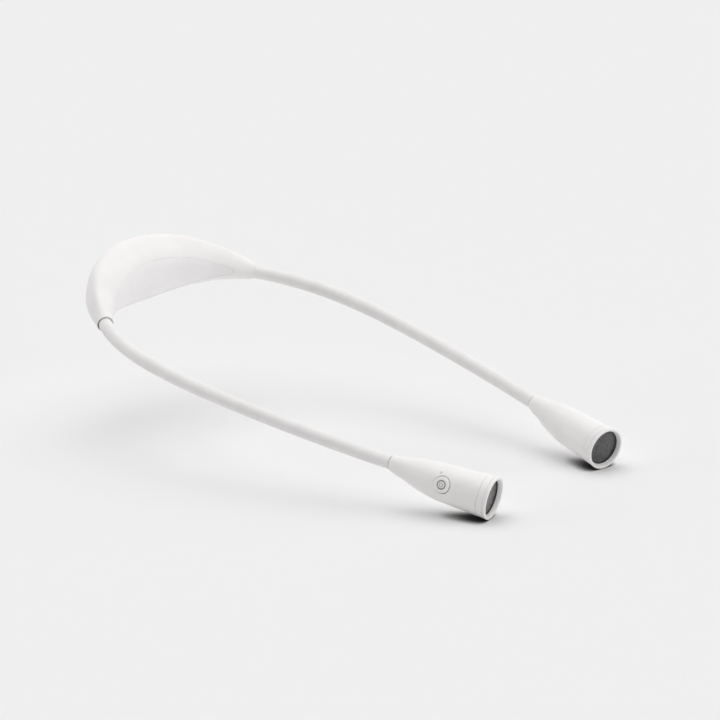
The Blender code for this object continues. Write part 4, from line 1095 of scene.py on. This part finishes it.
class ButtonFrame:
    """The button's directions: out along its travel, along the head, and across."""

    def __init__(self, lamp):
        head, button = sizes().head, sizes().button
        along = head.shell_length * button.place
        profile = lamp.profile
        self.skin = table_value(profile, along, 1)
        catch = button.hole_radius + GAP
        rise = table_value(profile, along + catch, 1) - table_value(profile, along - catch, 1)
        cone = atan2(rise, 2 * catch)
        straight = lamp.side_way(button.raise_angle)
        self.out = straight * cos(cone) - lamp.way * sin(cone)
        self.along = lamp.way * cos(cone) + straight * sin(cone)
        self.across = self.out.cross(self.along)
        self.centre = lamp.spot(along, table_value(profile, along, 2))

    def level(self, height):
        return self.centre + self.out * height

    def crown(self, radius, proud):
        """A ring that follows the round side of the head, a little proud of it."""
        ring = []
        for step in range(BUTTON_SIDES):
            turn = FULL_TURN * step / BUTTON_SIDES
            shift = radius * sin(turn)
            height = sqrt(self.skin**2 - shift**2) + proud
            ring.append(self.level(height) + self.along * (radius * cos(turn)) + self.across * shift)
        return ring

    def crowns(self, path):
        return [self.crown(radius, proud) for radius, proud in path]


def shell_path(lamp):
    """Closed path of the shell: (distance, radius, offset) over its skin, lip and bore."""
    head, profile = sizes().head, lamp.profile
    start, end = sizes().arm.seam_shift, head.shell_length
    lip, inner = end + head.lip_length, head.lens_radius
    path = [(start, head.neck_bore, 0), (start, head.neck_radius - EDGE_ROUND, 0)]
    path.append((start + EDGE_ROUND, head.neck_radius, 0))
    for at in spaced(start + SHELL_START, end - SHELL_END, SHELL_STEP):
        path.append((at, smooth_value(profile, at, 1), smooth_value(profile, at, 2)))
    front = [(end - back, head.front_radius - inward) for back, inward in SHELL_EDGE]
    front += [(end, inner), (lip - LIP_ROUND, inner), (lip, inner - LIP_ROUND), (lip, inner - head.lip_wall)]
    path += [(at, radius, head.offset) for at, radius in front]
    for at in spaced(head.neck_depth, end, SHELL_BORE_STEP)[::-1]:
        path.append((at, smooth_value(profile, at, 1) - head.wall, smooth_value(profile, at, 2)))
    path.append((head.neck_depth, head.neck_bore, 0))
    return path


class READINGLIGHT_OT_head_shells(bpy.types.Operator):
    """Horn-shaped shells of the two lamp heads, with the holes for button and indicator"""

    bl_idname = "readinglight.head_shells"
    bl_label = "Head shells"

    def execute(self, context):
        button = sizes().button
        for name, lamp in lamps():
            rings = [lamp.ring(*row) for row in shell_path(lamp)]
            shell = piece("head_body_" + name, loft(rings, True), "white_plastic")
            hole = button.hole_radius
            path = [(hole + outward, height) for outward, height in HOLE_STEPS]
            path += [(hole * HOLE_TOP_SHARE, HOLE_TOP), (CENTRE_RADIUS, HOLE_TOP)]
            tools = [("button_hole_" + name, loft(ButtonFrame(lamp).crowns(path)))]
            wide = button.indicator_radius + INDICATOR_GAP
            path = [(height, wide) for height in INDICATOR_HOLE]
            tools.append(("indicator_hole_" + name, loft(indicator_rings(lamp, path))))
            carve(shell, tools)
            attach(shell, name + "_head")
            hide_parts("head_shell_" + name)
        return {"FINISHED"}


class READINGLIGHT_OT_rims(bpy.types.Operator):
    """Rim rings, dark lenses and a black ring of painted shade round each lens at the front of the heads"""

    bl_idname = "readinglight.rims"
    bl_label = "Rims and lenses"

    def execute(self, context):
        head = sizes().head
        start = head.shell_length + RIM_SEAM
        end = head.shell_length + GAP + head.rim_length
        lens_back = head.shell_length + head.lip_length + GAP
        lens_front = lens_back + head.lens_thickness
        for name, lamp in lamps():
            groove = end - RIM_GROOVE
            outer = between(head.front_radius, head.rim_radius, RIM_GROOVE_GROWTH)
            path = [(start, head.front_radius), (start + head.rim_length * RIM_STRAIGHT, head.front_radius)]
            path += [(groove + at, outer + outward) for at, outward in RIM_GROOVE_STEPS]
            path += [(end - RIM_ROUND, head.rim_radius), (end, head.rim_radius - RIM_ROUND)]
            path += [(end, head.mouth_radius + MOUTH_ROUND), (end - RIM_ROUND, head.mouth_radius)]
            path += [(lens_front + GAP, head.opening_radius), (lens_front + GAP, head.pocket_radius)]
            path = soften([*path, (start, head.pocket_radius)])
            rim = lamp.lathe("rim_ring_" + name, path, "white_plastic", True)
            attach(rim, name + "_head")
            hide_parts("bezel_" + name)
            wide = head.lens_radius
            path = [(lens_back, wide * share) for share in LENS_BACK_SHARES]
            path += [(lens_back + LENS_BEVEL, wide), (lens_front - LENS_SHOULDER, wide)]
            path.append((lens_front - LENS_EDGE_DROP, wide - LENS_EDGE_ROUND))
            path += [(lens_front - LENS_DOME * share**2, wide * share) for share in LENS_FRONT_SHARES]
            lens = lamp.lathe("lens_disc_" + name, path, "dark_lens", False)
            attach(lens, name + "_head")
            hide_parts("lens_" + name)
            # Black ring of painted shade where the rim's shadow falls on the lens's edge
            inner, outer = head.opening_radius - head.lens_shadow_ring, wide - SHADOW_RING_GAP
            low, high = lens_front - SHADOW_RING_BACK, lens_front - SHADOW_RING_FRONT
            path = [(low, inner), (high, inner), (high, outer), (low, outer)]
            shadow_ring = lamp.lathe("lens_shadow_ring_" + name, path, "switch_black", True)
            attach(shadow_ring, name + "_head")
        return {"FINISHED"}


class READINGLIGHT_OT_buttons(bpy.types.Operator):
    """Push buttons with a ring line and a generic power mark"""

    bl_idname = "readinglight.buttons"
    bl_label = "Buttons"

    def execute(self, context):
        button = sizes().button
        for name, lamp in lamps():
            spot = ButtonFrame(lamp)
            inside = spot.skin - sizes().head.wall
            flange = button.hole_radius + GAP
            front = sqrt(inside**2 - flange**2) - FLANGE_GAP
            back, top, proud = front - FLANGE_THICKNESS, button.radius, button.proud
            path = [(back - STEM_LENGTH, STEM_RADIUS), (back, STEM_RADIUS)]
            path += [(back, flange), (front, flange), (front, top)]
            rings = pin_rings(spot.centre, (spot.along, spot.across, spot.out), path, BUTTON_SIDES)
            groove, half, deep = button.ring_radius, button.ring_width / 2, button.ring_depth
            path = [(top - inward, proud - down) for inward, down in CAP_EDGE]
            wall = [*RING_WALL, (RING_FOOT, deep)]
            path += [(groove + half * share, proud - down) for share, down in wall]
            path += [(groove - half * share, proud - down) for share, down in wall[::-1]]
            crown = proud + CAP_CROWN
            rings += spot.crowns([*path, (groove * CROWN_SHARE, crown), (CENTRE_RADIUS, crown)])
            cap = piece("button_cap_" + name, loft(rings), "white_plastic")
            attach(cap, name + "_button")
            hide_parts("button_" + name)
            low, high = proud - deep - INLAY_SINK, proud - deep + INLAY_RISE
            path = [(groove + half, low), (groove + half, high), (groove - half, high), (groove - half, low)]
            rings = spot.crowns(path)
            inlay = piece("button_ring_" + name, loft(rings, True), "mark_grey")
            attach(inlay, name + "_button")
            mark = piece("button_mark_" + name, power_mark(spot), "mark_grey")
            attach(mark, name + "_button")
        return {"FINISHED"}


def power_mark(spot):
    """An open circle and a bar, as two thin raised strokes that follow the button's face."""
    button = sizes().button
    radius, half = button.mark_radius, button.mark_width / 2
    low, high = button.proud - MARK_SINK, button.proud + MARK_RISE
    corners = ((-half, low), (-half, high), (half, high), (half, low))
    up = 1 if spot.across.z > 0 else -1

    def place(x, y, proud):
        height = sqrt(spot.skin**2 - (y * up) ** 2) + proud
        return spot.level(height) + spot.along * x + spot.across * (y * up)

    arc = []
    for step in range(MARK_STEPS + 1):
        turn = QUARTER_TURN + MARK_OPENING + (FULL_TURN - 2 * MARK_OPENING) * step / MARK_STEPS
        cosine, sine = cos(turn), sin(turn)
        arc.append([place((radius + out) * cosine, (radius + out) * sine, proud) for out, proud in corners])
    foot, tip = BAR_ENDS
    levels = [between(radius * foot, radius * tip, step / BAR_STEPS) for step in range(BAR_STEPS + 1)]
    bar = [[place(x, level, proud) for x, proud in corners] for level in levels]
    work, bar_work = loft(arc), loft(bar)
    mesh = bpy.data.meshes.new("bar")
    bar_work.to_mesh(mesh)
    bar_work.free()
    work.from_mesh(mesh)
    bpy.data.meshes.remove(mesh)
    return work


def indicator_rings(lamp, path):
    """Circles round the indicator's line. The path lists (height over the head's skin, radius)."""
    button, profile = sizes().button, lamp.profile
    along = sizes().head.shell_length * button.indicator_place
    way = lamp.side_way(button.indicator_raise)
    centre = lamp.spot(along, table_value(profile, along, 2))
    skin = table_value(profile, along, 1)
    across = way.orthogonal().normalized()
    path = [(skin + height, radius) for height, radius in path]
    return pin_rings(centre, (across, way.cross(across), way), path)


class READINGLIGHT_OT_indicators(bpy.types.Operator):
    """Clear indicator pins above the buttons"""

    bl_idname = "readinglight.indicators"
    bl_label = "Indicators"

    def execute(self, context):
        wide = sizes().button.indicator_radius
        for name, lamp in lamps():
            path = [(height, wide * share) for height, share in INDICATOR_PIN]
            rings = indicator_rings(lamp, path)
            pin = piece("indicator_pin_" + name, loft(rings), "clear_pin")
            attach(pin, name + "_head")
            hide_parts("indicator_" + name)
        return {"FINISHED"}


INNER_FINISHES = (
    ("core_", "steel"),
    ("board_screw_", "steel"),
    ("battery_cell", "cell_foil"),
    ("charge_board", "board_green"),
    ("switch_board_", "board_green"),
    ("led_board_", "reflector_metal"),
    ("led_", "led_yellow"),
    ("lead_", "lead_black"),
    ("reflector_", "reflector_metal"),
    ("push_switch_", "switch_black"),
)


class READINGLIGHT_OT_inner_parts(bpy.types.Operator):
    """Finishes of the inner parts: cell, boards, cores, leads, switches, reflectors and LEDs"""

    bl_idname = "readinglight.inner_parts"
    bl_label = "Inner parts"

    def execute(self, context):
        for name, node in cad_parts.items():
            for start, finish in INNER_FINISHES:
                if name.startswith(start):
                    for slot in node.material_slots:
                        slot.material = MATERIALS[finish]
                    break
        return {"FINISHED"}


class READINGLIGHT_OT_stage(bpy.types.Operator):
    """Floor, light from above and all round, and the camera at the picture's angle"""

    bl_idname = "readinglight.stage"
    bl_label = "Stage"

    def execute(self, context):
        stage = sizes().stage
        self.floor(stage)
        self.light(stage)
        self.camera(stage)
        context.scene.view_settings.view_transform = "Standard"
        return {"FINISHED"}

    def floor(self, stage):
        base = sizes().finishes.floor
        shade = Shade("pale_floor", base, 0.9)
        shade.set("Specular IOR Level", 0.0)
        # Painted shadow: ambient occlusion darkens the floor's own colour under the heads, deeper than their
        # real shadow
        inputs = {"Distance": stage.painted_shadow_reach}
        near = shade.node("ShaderNodeAmbientOcclusion", inputs, samples=16).outputs["AO"]
        shade.vary_colour(near, toned(base, stage.painted_shadow_share), 1.0, 0.0, *PAINTED_SHADOW_RANGE)
        work = bmesh.new()
        bmesh.ops.create_grid(work, x_segments=1, y_segments=1, size=stage.floor_half)
        bmesh.ops.translate(work, verts=work.verts, vec=(0, 0, CAD_BOX[0].z - FLOOR_GAP))
        MATERIALS["pale_floor"] = shade.material
        floor = piece("floor", work, "pale_floor")

    def light(self, stage):
        picture = degrees(stage.azimuth)
        for name, strength, width, azimuth, height in (
            ("wide_light", stage.wide, 80, 0, 90),
            ("narrow_light", stage.narrow, 35, 0, 90),
            ("back_light", stage.back, 80, picture + 180, 45),
            ("front_light", stage.front, 40, 0, 12),
            ("left_light", stage.left, 30, picture - 90, 12),
            ("right_light", stage.right, 30, picture + 90, 12),
        ):
            lamp = bpy.data.lights.new(name, "SUN")
            lamp.energy = strength
            lamp.angle = radians(width)
            made = bpy.data.objects.new(name, lamp)
            made.rotation_euler = (radians(90 - height), 0, radians(azimuth))
            bpy.context.scene.collection.objects.link(made)
        world = bpy.data.worlds.new("pale_room")
        bpy.context.scene.world = world
        world.use_nodes = True
        tree = world.node_tree
        tree.nodes.clear()
        path = add_node(tree, "ShaderNodeLightPath", {}).outputs
        seen = path["Is Camera Ray"]
        for ray in ("Is Glossy Ray", "Is Transmission Ray"):
            seen = add_node(tree, "ShaderNodeMath", {0: seen, 1: path[ray]}, operation="MAXIMUM").outputs[0]
        mix = {0: seen}
        for index, strength in ((1, stage.ambient), (2, stage.backdrop)):
            sky = {"Color": (1, 1, 1, 1), "Strength": strength}
            mix[index] = add_node(tree, "ShaderNodeBackground", sky).outputs[0]
        mixed = add_node(tree, "ShaderNodeMixShader", mix).outputs[0]
        add_node(tree, "ShaderNodeOutputWorld", {0: mixed})

    def camera(self, stage):
        azimuth, elevation, roll = stage.azimuth, stage.elevation, stage.roll
        back = direction(azimuth, -elevation)
        level = Vector((cos(azimuth), sin(azimuth), 0))
        above = back.cross(level)
        right = level * cos(roll) + above * sin(roll)
        up = above * cos(roll) - level * sin(roll)
        data = bpy.data.cameras.new("camera")
        data.lens = stage.lens
        data.sensor_width = SENSOR_WIDTH
        data.clip_end = VIEW_DEPTH
        made = bpy.data.objects.new("camera", data)
        place = Vector(stage.target) + back * stage.distance
        turn = Matrix((right, up, back)).transposed()
        made.matrix_world = Matrix.Translation(place) @ turn.to_4x4()
        bpy.context.scene.collection.objects.link(made)
        bpy.context.scene.camera = made


class ReadingLight(bpy.types.PropertyGroup):
    housing: PointerProperty(type=HousingSizes)
    arm: PointerProperty(type=ArmSizes)
    head: PointerProperty(type=HeadSizes)
    button: PointerProperty(type=ButtonSizes)
    finishes: PointerProperty(type=Finishes)
    stage: PointerProperty(type=StageSizes)


OPERATORS = (
    READINGLIGHT_OT_housing,
    READINGLIGHT_OT_charging,
    READINGLIGHT_OT_sleeves,
    READINGLIGHT_OT_head_shells,
    READINGLIGHT_OT_rims,
    READINGLIGHT_OT_buttons,
    READINGLIGHT_OT_indicators,
    READINGLIGHT_OT_inner_parts,
    READINGLIGHT_OT_stage,
)


class READINGLIGHT_PT_panel(bpy.types.Panel):
    bl_idname = "READINGLIGHT_PT_panel"
    bl_label = "Reading light"
    bl_space_type = "VIEW_3D"
    bl_region_type = "UI"
    bl_category = "Reading light"

    def draw(self, context):
        for operator in OPERATORS:
            self.layout.operator(operator.bl_idname)
        for group in ("housing", "arm", "head", "button", "finishes", "stage"):
            box = self.layout.box()
            box.label(text=group.capitalize())
            values = getattr(context.scene.reading_light, group)
            for name in type(values).__annotations__:
                box.prop(values, name)


CLASSES = (
    HousingSizes,
    ArmSizes,
    HeadSizes,
    ButtonSizes,
    Finishes,
    StageSizes,
    ReadingLight,
    *OPERATORS,
    READINGLIGHT_PT_panel,
)


def register():
    for kind in CLASSES:
        bpy.utils.register_class(kind)
    bpy.types.Scene.reading_light = PointerProperty(type=ReadingLight)


def unregister():
    del bpy.types.Scene.reading_light
    for kind in reversed(CLASSES):
        bpy.utils.unregister_class(kind)


def main():
    register()
    make_materials()
    for operator in OPERATORS:
        group, name = operator.bl_idname.split(".")
        getattr(getattr(bpy.ops, group), name)()


if __name__ == "__main__":
    main()
